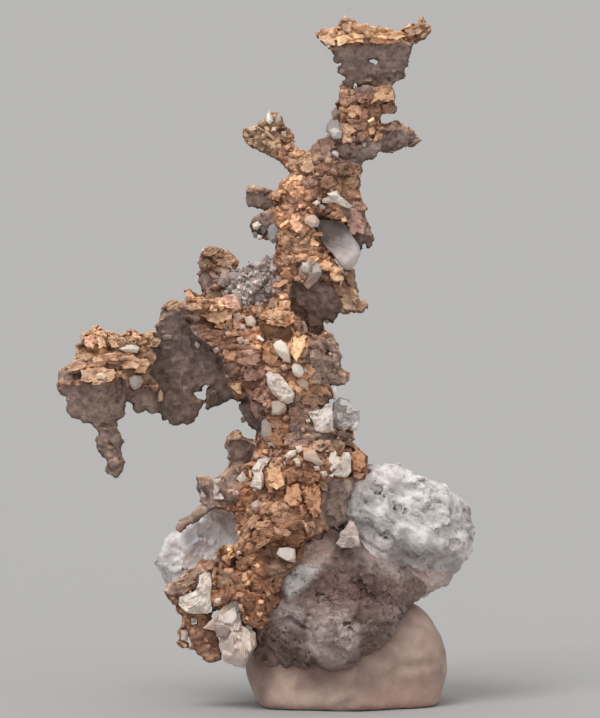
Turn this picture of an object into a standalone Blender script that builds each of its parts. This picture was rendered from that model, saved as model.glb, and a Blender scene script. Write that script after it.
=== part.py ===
"""Native copper specimen: a branching tree of hackly copper that grew out of a
small block of pale rock, with calcite grains caught in the copper.

Metres, +Z up, +Y to the back. The origin is the centre of the flat broken face
that the specimen stands on.

The pieces are laid out on a drawing sheet with SHEET units to the millimetre.
A point of the sheet is (column, row, depth): columns run to the right, rows run
down, depth runs to the back, and sheet radii are in the same units.
"""

import math
import random

import bmesh
import bpy
from mathutils import Matrix, Vector, noise

# ---------------------------------------------------------------- dimensions
MM = 0.001
SHEET = 12.0  # sheet units in one millimetre
ORIGIN_COLUMN = 335.0  # column over the origin
FLOOR_ROW = 706.0  # row of the resting face
LEAN = 0.0875  # the sheet looks down by this slope, so depth lowers a point
GAP = 0.34 * MM  # clearance between two pieces that touch
VOXEL_COPPER = 0.42 * MM
VOXEL_ROCK = 0.60 * MM
STEP = 0.45  # spacing of the lumps along a stroke, in radii

COPPER_BRIGHT = (0.62, 0.31, 0.15, 1.0)
COPPER_DARK = (0.21, 0.115, 0.085, 1.0)
CALCITE = (0.80, 0.74, 0.68, 1.0)
CALCITE_GREY = (0.55, 0.53, 0.52, 1.0)
ROCK_PALE = (0.52, 0.50, 0.50, 1.0)
ROCK_PURPLE = (0.27, 0.20, 0.19, 1.0)
ROCK_FOOT = (0.50, 0.43, 0.37, 1.0)


# ---------------------------------------------------------------- scene set-up
for old in list(bpy.data.objects):
    bpy.data.objects.remove(old, do_unlink=True)
scene = bpy.context.scene
specimen = bpy.data.collections.new("native_copper_specimen")
cutters = bpy.data.collections.new("cutters")
scene.collection.children.link(specimen)
scene.collection.children.link(cutters)


def at(column, row, depth=0.0):
    """A point of the drawing sheet, in metres."""
    x = (column - ORIGIN_COLUMN) / SHEET
    y = depth / SHEET
    z = (FLOOR_ROW - row) / SHEET - LEAN * y
    return Vector((x, y, z)) * MM


def size(units):
    return units / SHEET * MM


def material(name, colour, roughness, metallic):
    mat = bpy.data.materials.new(name)
    mat.use_nodes = True
    shader = mat.node_tree.nodes["Principled BSDF"]
    shader.inputs["Base Color"].default_value = colour
    shader.inputs["Roughness"].default_value = roughness
    shader.inputs["Metallic"].default_value = metallic
    mat.diffuse_color = colour
    return mat


# ---------------------------------------------------------------- mesh helpers
def add_lump(bm, centre, radius, squash=(1, 1, 1), turn=0.0):
    """One ico sphere, squashed along its axes and turned about the depth axis."""
    matrix = (
        Matrix.Translation(centre)
        @ Matrix.Rotation(turn, 4, "Y")
        @ Matrix.Diagonal((*squash, 1.0))
    )
    bmesh.ops.create_icosphere(bm, subdivisions=2, radius=radius, matrix=matrix)


def add_stroke(bm, points, squash=(1, 1, 1)):
    """A run of overlapping lumps through sheet points (column, row, depth, radius)."""
    for a, b in zip(points, points[1:] if len(points) > 1 else points):
        start, end = at(*a[:3]), at(*b[:3])
        length = (end - start).length
        least = max(min(size(a[3]), size(b[3])), 0.2 * MM)
        count = max(1, math.ceil(length / (STEP * least)))
        for i in range(count + 1):
            t = i / count
            add_lump(
                bm, start.lerp(end, t), size(a[3] + (b[3] - a[3]) * t), squash
            )


def add_plate(bm, outline, depth, thickness, yaw=0.0):
    """A flat flake: a closed outline on the sheet, given a thickness."""
    curve = bpy.data.curves.new("flake", "CURVE")
    curve.dimensions = "2D"
    curve.fill_mode = "BOTH"
    curve.extrude = size(thickness) / 2
    spline = curve.splines.new("POLY")
    spline.points.add(len(outline) - 1)
    centre_column = sum(p[0] for p in outline) / len(outline)
    centre_row = sum(p[1] for p in outline) / len(outline)
    for point, (column, row) in zip(spline.points, outline):
        point.co = (
            size(column - centre_column),
            size(centre_row - row),
            0.0,
            1.0,
        )
    spline.use_cyclic_u = True
    obj = bpy.data.objects.new("flake", curve)
    cutters.objects.link(obj)
    obj.matrix_world = (
        Matrix.Translation(at(centre_column, centre_row, depth))
        @ Matrix.Rotation(yaw, 4, "Z")
        @ Matrix.Rotation(math.radians(90), 4, "X")
    )
    bpy.context.view_layer.update()
    graph = bpy.context.evaluated_depsgraph_get()
    mesh = bpy.data.meshes.new_from_object(obj.evaluated_get(graph))
    mesh.transform(obj.matrix_world)
    part = bmesh.new()
    part.from_mesh(mesh)
    bmesh.ops.remove_doubles(part, verts=part.verts, dist=1e-6)
    bmesh.ops.recalc_face_normals(part, faces=part.faces)
    part.to_mesh(mesh)
    part.free()
    bm.from_mesh(mesh)
    bpy.data.objects.remove(obj, do_unlink=True)
    bpy.data.meshes.remove(mesh)


def freeze(obj):
    """The evaluated mesh takes the place of the object's own, and its modifiers go."""
    bpy.context.view_layer.update()
    graph = bpy.context.evaluated_depsgraph_get()
    mesh = bpy.data.meshes.new_from_object(obj.evaluated_get(graph))
    old = obj.data
    obj.modifiers.clear()
    obj.data = mesh
    bpy.data.meshes.remove(old)


def largest_body(obj):
    """Drops the loose crumbs that a cut leaves, and keeps the biggest body."""
    bm = bmesh.new()
    bm.from_mesh(obj.data)
    bmesh.ops.remove_doubles(bm, verts=bm.verts, dist=2e-6)
    bmesh.ops.dissolve_degenerate(bm, edges=bm.edges, dist=2e-6)
    bmesh.ops.triangulate(bm, faces=bm.faces)
    left = set(bm.faces)
    bodies = []
    while left:
        stack = [left.pop()]
        body = list(stack)
        while stack:
            for edge in stack.pop().edges:
                for face in edge.link_faces:
                    if face in left:
                        left.remove(face)
                        stack.append(face)
                        body.append(face)
        bodies.append(body)

    def volume(body):
        return sum(
            f.verts[0].co.dot(f.verts[1].co.cross(f.verts[2].co)) / 6 for f in body
        )

    keep = max(bodies, key=volume)
    for body in bodies:
        if body is not keep:
            bmesh.ops.delete(bm, geom=body, context="FACES")
    loose = [v for v in bm.verts if not v.link_faces]
    bmesh.ops.delete(bm, geom=loose, context="VERTS")
    bm.to_mesh(obj.data)
    bm.free()


def is_closed(obj):
    """Whether every edge joins two faces, also once points 3 microns apart count as one."""
    bm = bmesh.new()
    bm.from_mesh(obj.data)
    whole = all(len(e.link_faces) == 2 for e in bm.edges)
    if whole:
        bmesh.ops.triangulate(bm, faces=bm.faces)
        bmesh.ops.remove_doubles(bm, verts=bm.verts, dist=3e-6)
        whole = all(len(e.link_faces) == 2 for e in bm.edges)
        whole = whole and all(
            len({f for f in v.link_faces}) == len(v.link_edges) for v in bm.verts
        )
    bm.free()
    return whole


def reskin(obj, voxel, triangles):
    """A fresh voxel skin, where a cut has left a surface that pinches itself."""
    skin = obj.modifiers.new("Skin", "REMESH")
    skin.mode = "VOXEL"
    skin.voxel_size = voxel
    freeze(obj)
    decimate(obj, triangles)
    largest_body(obj)


def decimate(obj, triangles):
    """Fewer faces, and a few more than asked where fewer would pinch the surface."""
    full = obj.data.copy()
    count = sum(len(p.vertices) - 2 for p in full.polygons)
    for more in (1.0, 1.07, 1.15, 1.25, 1.4):
        if count <= triangles * more:
            break
        reduce = obj.modifiers.new("Reduce", "DECIMATE")
        reduce.ratio = triangles * more / count
        freeze(obj)
        if is_closed(obj):
            return
        obj.data = full.copy()


def grow(name, bm, mat, voxel, triangles, rough, grain, flat=False):
    """One solid from overlapping shapes: a voxel skin, a broken surface, then fewer faces."""
    mesh = bpy.data.meshes.new(name)
    bm.to_mesh(mesh)
    bm.free()
    obj = bpy.data.objects.new(name, mesh)
    specimen.objects.link(obj)
    mesh.materials.append(mat)
    skin = obj.modifiers.new("Skin", "REMESH")
    skin.mode = "VOXEL"
    skin.voxel_size = voxel
    freeze(obj)
    if rough:
        texture = bpy.data.textures.new(name, "VORONOI")
        texture.noise_scale = grain
        texture.distance_metric = "DISTANCE"
        hackly = obj.modifiers.new("Hackly", "DISPLACE")
        hackly.texture = texture
        hackly.texture_coords = "GLOBAL"
        hackly.strength = rough
        hackly.mid_level = 0.35
        freeze(obj)
    decimate(obj, triangles)
    obj.data.materials.clear()
    obj.data.materials.append(mat)
    return obj


def swollen(obj, by):
    """A cutter that stands proud of a piece by the clearance, all over."""
    cutter = bpy.data.objects.new("clear_of_" + obj.name, obj.data.copy())
    cutters.objects.link(cutter)
    swell = cutter.modifiers.new("Swell", "DISPLACE")
    swell.strength = by
    swell.mid_level = 0.0
    freeze(cutter)
    cutter.hide_render = True
    cutter.display_type = "WIRE"
    return cutter


def near(a, b, reach=0.8 * MM):
    """Whether two objects' boxes come within reach of each other."""
    boxes = []
    for obj in (a, b):
        points = [v.co for v in obj.data.vertices]
        boxes.append(
            (
                [min(p[k] for p in points) for k in range(3)],
                [max(p[k] for p in points) for k in range(3)],
            )
        )
    (a0, a1), (b0, b1) = boxes
    return all(a0[k] <= b1[k] + reach and b0[k] <= a1[k] + reach for k in range(3))


placed = []  # pieces already in place, the first of which nothing cuts


def place(obj, triangles=None):
    """Cuts the new piece clear of every piece already in place."""
    for other, cutter in placed:
        if not near(obj, other):
            continue
        cut = obj.modifiers.new("Clear", "BOOLEAN")
        cut.operation = "DIFFERENCE"
        cut.use_self = True
        cut.object = cutter
        freeze(obj)
    largest_body(obj)
    before = obj.data.copy()
    planar = obj.modifiers.new("Planar", "DECIMATE")
    planar.decimate_type = "DISSOLVE"
    planar.angle_limit = math.radians(7)
    freeze(obj)
    largest_body(obj)
    if not is_closed(obj):
        obj.data = before
    if not is_closed(obj):
        reskin(obj, 0.22 * MM, sum(len(p.vertices) - 2 for p in before.polygons))
    placed.append((obj, swollen(obj, GAP)))
    return obj


# ---------------------------------------------------------------- materials
copper_bright = material("copper_bright", COPPER_BRIGHT, 0.42, 1.0)
copper_dark = material("copper_dark", COPPER_DARK, 0.55, 0.8)
calcite = material("calcite", CALCITE, 0.45, 0.0)
calcite_grey = material("calcite_grey", CALCITE_GREY, 0.4, 0.0)
rock_pale = material("rock_pale", ROCK_PALE, 0.8, 0.0)
rock_purple = material("rock_purple", ROCK_PURPLE, 0.75, 0.0)
rock_foot = material("rock_foot", ROCK_FOOT, 0.7, 0.0)


# ---------------------------------------------------------------- calcite grains
# name, centre (column, row, depth), half sizes (column, row, depth), turn in degrees
GRAINS = (
    ("calcite_grain_upper", (281, 351, -44), (10, 13, 9), -35),
    ("calcite_grain_mid", (280, 388, -40), (13, 17, 11), -25),
    ("calcite_grain_right", (321, 420, -34), (13, 16, 10), 10),
    ("calcite_grain_left", (259, 472, -46), (9, 18, 10), 20),
    ("calcite_grain_big", (339, 463, -46), (13, 14, 12), 0),
    ("calcite_wedge", (349, 534, -56), (13, 16, 10), -12),
    ("calcite_chip", (287, 554, -88), (11, 8, 8), 8),
    ("calcite_low_left", (197, 594, -22), (16, 21, 13), 30),
    ("calcite_foot_grain", (236, 636, -26), (19, 32, 18), 10),
    ("calcite_crystal_beige", (311, 273, -24), (13, 15, 12), 0),
    ("calcite_grey_cluster", (345, 416, 6), (15, 16, 14), 15),
    ("calcite_ridge", (337, 199, -20), (17, 9, 10), -28),
    ("calcite_cloud", (335, 240, 8), (21, 24, 12), 20),
    ("calcite_back_upper", (302, 345, 44), (15, 19, 10), 30),
    ("calcite_back_lower", (296, 462, 40), (18, 20, 12), -15),
    ("calcite_back_high", (300, 232, 26), (11, 14, 9), 20),
)


def grain(name, centre, half, turn, mat, seed):
    """A cleaved crystal grain: a sphere trimmed flat by a few cleavage planes."""
    rng = random.Random(seed)
    bm = bmesh.new()
    bmesh.ops.create_icosphere(bm, subdivisions=1, radius=1.16)
    for _ in range(9):
        normal = Vector([rng.uniform(-1, 1) for _ in range(3)]).normalized()
        geom = bm.verts[:] + bm.edges[:] + bm.faces[:]
        bmesh.ops.bisect_plane(
            bm,
            geom=geom,
            plane_co=normal * rng.uniform(0.80, 0.92),
            plane_no=normal,
            clear_outer=True,
        )
        rim = [e for e in bm.edges if len(e.link_faces) == 1]
        if rim:
            bmesh.ops.contextual_create(bm, geom=rim)
    bmesh.ops.recalc_face_normals(bm, faces=bm.faces)
    matrix = (
        Matrix.Translation(at(*centre))
        @ Matrix.Rotation(math.radians(turn), 4, "Y")
        @ Matrix.Diagonal((size(half[0]), size(half[2]), size(half[1]), 1.0))
    )
    bmesh.ops.transform(bm, matrix=matrix, verts=bm.verts)
    bmesh.ops.remove_doubles(bm, verts=bm.verts, dist=0.05 * MM)
    bmesh.ops.triangulate(bm, faces=bm.faces)
    mesh = bpy.data.meshes.new(name)
    bm.to_mesh(mesh)
    bm.free()
    mesh.materials.append(mat)
    obj = bpy.data.objects.new(name, mesh)
    specimen.objects.link(obj)
    return obj


for i, (name, centre, half, turn) in enumerate(GRAINS):
    grey = name in ("calcite_grey_cluster", "calcite_cloud")
    place(grain(name, centre, half, turn, calcite_grey if grey else calcite, 40 + i))


# ---------------------------------------------------------------- matrix rock
def rock(name, strokes, mat, triangles, squash=(1, 1, 1), rough=0.9 * MM, grain_size=0.0032):
    bm = bmesh.new()
    for stroke in strokes:
        add_stroke(bm, stroke, squash)
    return grow(name, bm, mat, VOXEL_ROCK, triangles, rough, grain_size)


foot = rock(
    "pale_foot",
    [
        [(300, 676, 8, 56), (340, 672, 10, 62), (384, 664, 18, 66)],
        [(296, 704, -4, 50), (345, 716, -4, 60), (392, 702, 8, 52)],
        [(388, 648, 45, 46), (350, 640, 50, 44)],
        [(300, 690, 56, 44), (360, 700, 72, 50), (400, 690, 58, 40)],
    ],
    rock_foot,
    400,
    rough=0.35 * MM,
    grain_size=0.006,
)
bpy.ops.mesh.primitive_cube_add(size=0.08, location=(0, 0, -0.04))
table = bpy.context.active_object
table.name = "table_cutter"
for collection in list(table.users_collection):
    collection.objects.unlink(table)
cutters.objects.link(table)
table.hide_render = True
table.display_type = "WIRE"
saw = foot.modifiers.new("Saw", "BOOLEAN")
saw.operation = "DIFFERENCE"
saw.object = table
freeze(foot)
place(foot)

core = rock(
    "matrix_core",
    [
        [(300, 585, -30, 36), (340, 580, -20, 44), (378, 590, -10, 36)],
        [(292, 620, -34, 34), (330, 628, -40, 42), (370, 618, -22, 38)],
        [(280, 640, -20, 30), (318, 648, -38, 24)],
        [(345, 560, 20, 40), (300, 600, 30, 40)],
        [(360, 560, -10, 34)],
    ],
    rock_purple,
    430,
)
place(core)

right = rock(
    "matrix_right_lobe",
    [
        [(378, 506, 20, 36), (405, 510, 24, 42), (430, 522, 26, 38)],
        [(385, 540, 10, 40), (420, 550, 18, 42), (440, 545, 24, 34)],
        [(400, 575, 12, 30), (425, 575, 20, 22)],
        [(395, 515, 60, 38), (420, 540, 60, 36)],
        [(452, 530, 30, 22)],
    ],
    rock_pale,
    430,
)
place(right)

left = rock(
    "matrix_left_lobe",
    [
        [(222, 532, 30, 26), (200, 546, 30, 30), (180, 560, 26, 25)],
        [(232, 560, 30, 30), (208, 575, 30, 28), (186, 582, 20, 18)],
        [(250, 590, 30, 30), (270, 620, 40, 34)],
        [(240, 535, 44, 24), (262, 560, 40, 30)],
    ],
    rock_pale,
    320,
)
place(left)


# ---------------------------------------------------------------- copper tree
def copper(name, strokes, plates=(), mat=copper_bright, triangles=500, squash=(1, 1, 1), rough=0.55 * MM):
    bm = bmesh.new()
    for stroke in strokes:
        add_stroke(bm, stroke, squash)
    for outline, depth, thickness, yaw in plates:
        add_plate(bm, outline, depth, thickness, yaw)
    return grow(name, bm, mat, VOXEL_COPPER, triangles, rough, 0.0016)


place(
    copper(
        "copper_trunk_lower",
        [
            [
                (258, 622, -52, 17),
                (254, 600, -50, 24),
                (262, 575, -48, 30),
                (275, 550, -46, 36),
                (288, 520, -40, 42),
                (300, 490, -30, 44),
                (306, 462, -22, 40),
                (300, 440, -16, 36),
                (294, 415, -12, 34),
                (286, 390, -8, 38),
                (286, 365, -4, 42),
                (285, 340, -2, 42),
                (290, 318, 0, 34),
            ],
            [(235, 590, -44, 22), (205, 575, -30, 16), (190, 582, -24, 10)],
            [(325, 505, -30, 22), (330, 485, -26, 22)],
            [(318, 350, 4, 22), (334, 370, 2, 13), (342, 378, 2, 8)],
            [(352, 462, -26, 12), (358, 470, -26, 10)],
            [(245, 448, -6, 20), (235, 440, 0, 10)],
            [(262, 440, 20, 26), (290, 440, 26, 26)],
            [(330, 436, -10, 14), (342, 440, -8, 10)],
            [(326, 396, -8, 12), (316, 380, -4, 20)],
            [(290, 500, 10, 34), (300, 470, 20, 30)],
            [(282, 398, 34, 18), (272, 388, 58, 13), (262, 376, 76, 6)],
        ],
        mat=copper_bright,
        triangles=680,
    )
)
place(
    copper(
        "copper_trunk_upper",
        [
            [
                (297, 300, 0, 24),
                (297, 270, 0, 25),
                (294, 240, 0, 23),
                (295, 215, 0, 22),
                (303, 192, 2, 26),
                (318, 176, 4, 30),
                (330, 165, 6, 26),
            ],
            [(318, 300, 4, 20), (326, 308, 6, 12)],
            [(300, 262, 24, 14), (304, 246, 44, 10), (308, 236, 56, 5)],
            [(312, 172, 26, 13), (306, 164, 42, 8)],
        ],
        triangles=400,
    )
)
place(
    copper(
        "copper_head",
        [
            [
                (342, 160, 8, 20),
                (352, 140, 8, 24),
                (358, 120, 8, 22),
                (366, 100, 8, 22),
                (366, 85, 8, 20),
            ],
            [(388, 106, 8, 8), (380, 95, 6, 14)],
            [(322, 36, -2, 6), (340, 35, 0, 9), (366, 36, 4, 10), (398, 40, 8, 8), (416, 30, 10, 8), (427, 28, 12, 5)],
            [(345, 24, -2, 5), (352, 30, 0, 6)],
            [(421, 21, 12, 4), (418, 30, 10, 6)],
        ],
        plates=[
            (
                (
                    (330, 42), (344, 32), (400, 32), (412, 42), (409, 55), (405, 66),
                    (402, 78), (388, 86), (376, 100), (350, 100), (345, 84), (341, 72),
                    (336, 62),
                ),
                6,
                24,
                0.06,
            )
        ],
        mat=copper_dark,
        triangles=450,
    )
)
place(
    copper(
        "copper_left_arm",
        [
            [
                (240, 346, -4, 44),
                (210, 352, -8, 44),
                (182, 352, -12, 42),
                (150, 366, -16, 32),
                (120, 368, -20, 32),
                (96, 368, -22, 34),
                (76, 385, -20, 20),
                (64, 388, -20, 6),
            ],
            [(182, 380, -12, 34), (215, 370, -8, 30)],
            [(98, 332, -20, 8), (100, 345, -20, 10)],
            [(182, 408, -12, 20), (152, 400, -14, 13), (138, 400, -14, 12)],
            [(178, 316, -6, 16), (168, 322, -8, 12)],
            [(228, 392, -6, 14), (212, 396, -8, 12)],
            [(100, 400, -22, 22), (82, 400, -20, 18)],
        ],
        mat=copper_bright,
        triangles=600,
    )
)
place(
    copper(
        "copper_left_spur",
        [
            [(108, 412, -22, 14), (109, 440, -20, 13), (113, 460, -20, 11), (117, 475, -20, 3)],
        ],
        mat=copper_dark,
        triangles=200,
    )
)
place(
    copper(
        "copper_arm_knob",
        [
            [(216, 304, -2, 14), (211, 285, 0, 13), (210, 268, 0, 12), (216, 258, 0, 13), (230, 262, 0, 9)],
            [(200, 304, -4, 8), (191, 293, -4, 5)],
        ],
        mat=copper_dark,
        triangles=240,
    )
)
place(
    copper(
        "copper_upper_left_branch",
        [
            [(300, 168, 6, 14), (285, 158, 14, 12), (274, 146, 20, 13), (266, 134, 24, 16), (252, 136, 24, 9)],
            [(270, 122, 26, 9), (284, 132, 22, 10)],
        ],
        triangles=240,
    )
)
place(
    copper(
        "copper_right_stub",
        [
            [(378, 136, 8, 13), (394, 136, 10, 13), (408, 139, 12, 8), (418, 140, 12, 2.5)],
        ],
        mat=copper_dark,
        triangles=200,
    )
)
place(
    copper(
        "copper_right_plate",
        [
            [(345, 186, 8, 13), (352, 200, 8, 13), (357, 216, 8, 13), (362, 232, 8, 11), (368, 242, 8, 5)],
            [(360, 240, 8, 7), (360, 251, 8, 3)],
        ],
        mat=copper_dark,
        triangles=300,
    )
)
place(
    copper(
        "copper_right_flake",
        [
            [(326, 276, 6, 14), (340, 280, 8, 13), (348, 294, 8, 12), (356, 304, 8, 8), (366, 305, 8, 3)],
            [(330, 306, 6, 12)],
        ],
        triangles=300,
    )
)
place(
    copper(
        "copper_left_flake_upper",
        [[(280, 200, 2, 8), (268, 200, 2, 6)]],
        plates=[
            (((247, 186), (257, 185), (270, 191), (280, 194), (280, 206), (264, 209), (250, 207), (245, 202)), 2, 14, 0.2)
        ],
        mat=copper_dark,
        triangles=160,
        rough=0.2 * MM,
    )
)
place(
    copper(
        "copper_left_flake_lower",
        [[(280, 222, 4, 8), (262, 232, 6, 9)]],
        plates=[
            (((276, 210), (262, 213), (252, 221), (249, 231), (256, 239), (268, 239), (276, 232)), 4, 14, -0.2)
        ],
        mat=copper_dark,
        triangles=160,
        rough=0.2 * MM,
    )
)
place(
    copper(
        "copper_low_left_flake",
        [[(214, 606, -30, 9), (205, 620, -32, 9), (188, 634, -34, 7)]],
        plates=[
            (((186, 618), (206, 612), (216, 628), (221, 645), (221, 661), (206, 661), (194, 650), (182, 645), (180, 632)), -34, 14, 0.1)
        ],
        mat=copper_bright,
        triangles=220,
        rough=0.2 * MM,
    )
)
place(
    copper(
        "copper_dark_blade",
        [[(262, 412, 0, 9), (252, 412, 0, 9)]],
        plates=[(((239, 401), (264, 401), (266, 430), (250, 427), (241, 414)), 0, 13, 0.1)],
        mat=copper_dark,
        triangles=140,
        rough=0.2 * MM,
    )
)

place(
    copper(
        "copper_left_twigs",
        [
            [(256, 500, -16, 22), (236, 488, -12, 18), (214, 486, -8, 12), (202, 484, -6, 7)],
            [(240, 470, -8, 16), (236, 486, -10, 16)],
            [(236, 508, -14, 12), (214, 508, -14, 6), (196, 517, -14, 5), (180, 527, -14, 4)],
            [(206, 482, -6, 4), (199, 477, -6, 3)],
        ],
        mat=copper_dark,
        triangles=260,
        rough=0.3 * MM,
    )
)
place(
    copper(
        "copper_low_left_ridge",
        [[(212, 566, -34, 9), (198, 568, -34, 8), (186, 576, -32, 8), (174, 588, -30, 6)]],
        mat=copper_dark,
        triangles=160,
        rough=0.3 * MM,
    )
)
place(
    copper(
        "grey_crystal_patch",
        [
            [(232, 282, -4, 16), (250, 284, -8, 18), (268, 280, -4, 18), (276, 270, 0, 10)],
            [(244, 296, -14, 14), (262, 298, -14, 12)],
        ],
        mat=calcite_grey,
        triangles=130,
        rough=0.3 * MM,
    )
)

for other, cutter in placed:
    bpy.data.objects.remove(cutter, do_unlink=True)
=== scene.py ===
"""Looks of the native copper specimen: hackly copper, calcite grains and host rock.

Shapes are worked out in millimetres as distance fields, skinned, and joined
with many small faceted crystals. Sheet points are (column, row, depth), with
SHEET units to the millimetre, as in the construction.
"""

import math
import time

import bpy
import numpy as np
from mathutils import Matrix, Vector


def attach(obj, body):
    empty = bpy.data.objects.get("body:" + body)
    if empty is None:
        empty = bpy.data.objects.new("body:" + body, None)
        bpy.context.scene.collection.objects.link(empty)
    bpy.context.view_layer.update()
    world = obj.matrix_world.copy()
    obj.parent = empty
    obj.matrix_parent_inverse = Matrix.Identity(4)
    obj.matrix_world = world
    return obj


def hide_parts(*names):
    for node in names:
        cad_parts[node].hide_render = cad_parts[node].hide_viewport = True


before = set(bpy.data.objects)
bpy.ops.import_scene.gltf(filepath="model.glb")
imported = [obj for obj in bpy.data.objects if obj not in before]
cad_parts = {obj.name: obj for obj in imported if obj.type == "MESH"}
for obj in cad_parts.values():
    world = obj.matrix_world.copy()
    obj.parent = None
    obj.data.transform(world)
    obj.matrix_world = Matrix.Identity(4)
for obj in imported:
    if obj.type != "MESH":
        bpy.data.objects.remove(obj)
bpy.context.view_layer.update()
T0 = time.time()


def note(words):
    print(f"[{time.time() - T0:6.1f}s] {words}", flush=True)


SHEET, COL0, ROW0, LEAN = 12.0, 335.0, 706.0, 0.0875
F32 = np.float32


def at(c, r, d=0.0):
    y = d / SHEET
    return np.array([(c - COL0) / SHEET, y, (ROW0 - r) / SHEET - LEAN * y])


def sheet_of(points):
    """Columns, rows and depths of points in millimetres."""
    y = points[:, 1]
    return (
        points[:, 0] * SHEET + COL0,
        ROW0 - (points[:, 2] + LEAN * y) * SHEET,
        y * SHEET,
    )


# ================================================================= noise
TABLE_BITS = 13
TABLE = 1 << TABLE_BITS
_table_rng = np.random.default_rng(20240917)
RAND = _table_rng.random((TABLE, 8)).astype(F32)
GRAD = _table_rng.normal(size=(TABLE, 3)).astype(F32)
GRAD /= np.linalg.norm(GRAD, axis=1, keepdims=True)


def cell_hash(i, j, k, seed=0):
    h = i * 73856093 ^ j * 19349663 ^ k * 83492791 ^ (seed * 2654435761 % 2147483647)
    h ^= h >> 13
    h = h * 1274126177
    h ^= h >> 16
    return h & (TABLE - 1)


def perlin(p, scale, seed=0):
    """Gradient noise, about -0.7 to 0.7. p is (n, 3) millimetres."""
    q = p / scale
    base = np.floor(q).astype(np.int64)
    f = (q - base).astype(F32)
    u = f * f * f * (f * (f * 6 - 15) + 10)
    total = np.zeros(len(p), F32)
    for dx in (0, 1):
        wx = u[:, 0] if dx else 1 - u[:, 0]
        for dy in (0, 1):
            wy = u[:, 1] if dy else 1 - u[:, 1]
            for dz in (0, 1):
                wz = u[:, 2] if dz else 1 - u[:, 2]
                g = GRAD[cell_hash(base[:, 0] + dx, base[:, 1] + dy, base[:, 2] + dz, seed)]
                dot = (
                    g[:, 0] * (f[:, 0] - dx)
                    + g[:, 1] * (f[:, 1] - dy)
                    + g[:, 2] * (f[:, 2] - dz)
                )
                total += wx * wy * wz * dot
    return total


def fbm(p, scale, octaves=3, seed=0, gain=0.5):
    total = np.zeros(len(p), F32)
    amount = 1.0
    for o in range(octaves):
        total += amount * perlin(p, scale / 2**o, seed + 17 * o)
        amount *= gain
    return total


def cells(p, scale, seed=0):
    """Voronoi cells: nearest distance, second distance (in cells), the nearest's hash, and the offset from its seed."""
    q = (p / scale).astype(F32)
    base = np.floor(q).astype(np.int64)
    best = np.full(len(p), 9.0, F32)
    second = np.full(len(p), 9.0, F32)
    who = np.zeros(len(p), np.int64)
    off = np.zeros((len(p), 3), F32)
    for dx in (-1, 0, 1):
        for dy in (-1, 0, 1):
            for dz in (-1, 0, 1):
                ci = base + np.array([dx, dy, dz])
                h = cell_hash(ci[:, 0], ci[:, 1], ci[:, 2], seed)
                delta = q - (ci + 0.1 + 0.8 * RAND[h, :3]).astype(F32)
                d = np.einsum("ij,ij->i", delta, delta)
                closer = d < best
                second = np.where(closer, best, np.minimum(second, d))
                best = np.where(closer, d, best)
                who = np.where(closer, h, who)
                off[closer] = delta[closer]
    return np.sqrt(best), np.sqrt(second), who, off * scale


def facets(p, scale, tilt, step, seed=0):
    """Broken, faceted relief: every cell is a flat facet with its own height and tilt."""
    f1, f2, who, off = cells(p, scale, seed)
    lean = (RAND[who, 3:6] - 0.5) * 2 * tilt
    return (RAND[who, 6] - 0.5) * 2 * step + np.einsum("ij,ij->i", lean, off), f2 - f1, who


# ================================================================= fields
def smin(a, b, k):
    h = np.clip(0.5 + 0.5 * (b - a) / k, 0, 1)
    return b + (a - b) * h - k * h * (1 - h)


class Field:
    """A box of distances in millimetres, negative inside."""

    def __init__(self, lo, hi, voxel):
        self.v = voxel
        self.lo = np.floor(np.array(lo) / voxel) * voxel
        self.n = np.ceil((np.array(hi) - self.lo) / voxel).astype(int) + 1
        self.d = np.full(self.n, 9.0, F32)

    def window(self, lo, hi):
        a = np.clip(np.floor((np.array(lo) - self.lo) / self.v).astype(int), 0, self.n)
        b = np.clip(np.ceil((np.array(hi) - self.lo) / self.v).astype(int) + 1, 0, self.n)
        if (b <= a).any():
            return None, None
        where = tuple(slice(i, j) for i, j in zip(a, b))
        xyz = [
            (self.lo[k] + self.v * np.arange(a[k], b[k])).astype(F32) for k in range(3)
        ]
        return where, (xyz[0][:, None, None], xyz[1][None, :, None], xyz[2][None, None, :])

    def points(self, mask, origin=(0, 0, 0)):
        index = np.argwhere(mask) + np.array(origin)
        return self.lo + index * self.v

    def sample(self, p, field=None):
        i = np.clip(np.rint((p - self.lo) / self.v).astype(int), 0, self.n - 1)
        return (self.d if field is None else field)[i[:, 0], i[:, 1], i[:, 2]]


REACH = 1.5  # how far round a shape its distances are worked out
VOXEL = 0.15  # of the copper, in millimetres


def capsule(xyz, a, b, ra, rb, squash):
    X, Y, Z = xyz
    s = np.array(squash, F32)
    ab = (b - a) / s
    length = max(float(ab @ ab), 1e-9)
    px, py, pz = (X - a[0]) / s[0], (Y - a[1]) / s[1], (Z - a[2]) / s[2]
    t = np.clip((px * ab[0] + py * ab[1] + pz * ab[2]) / length, 0, 1)
    d = np.sqrt((px - t * ab[0]) ** 2 + (py - t * ab[1]) ** 2 + (pz - t * ab[2]) ** 2)
    return ((d - (ra + (rb - ra) * t)) * min(s)).astype(F32)


def polygon_distance(U, V, outline):
    """Signed distance in the plane to a closed outline, negative inside."""
    pts = np.array(outline, float)
    best = np.full(U.shape, 1e9, F32)
    inside = np.zeros(U.shape, bool)
    for (x0, y0), (x1, y1) in zip(pts, np.roll(pts, -1, axis=0)):
        ex, ey = x1 - x0, y1 - y0
        t = np.clip(((U - x0) * ex + (V - y0) * ey) / max(ex * ex + ey * ey, 1e-9), 0, 1)
        best = np.minimum(best, (U - x0 - t * ex) ** 2 + (V - y0 - t * ey) ** 2)
        cross = (y0 > V) != (y1 > V)
        with np.errstate(divide="ignore", invalid="ignore"):
            hit = U < (x1 - x0) * (V - y0) / (y1 - y0 if y1 != y0 else 1e-9) + x0
        inside ^= cross & hit
    return np.where(inside, -np.sqrt(best), np.sqrt(best)).astype(F32)


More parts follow.
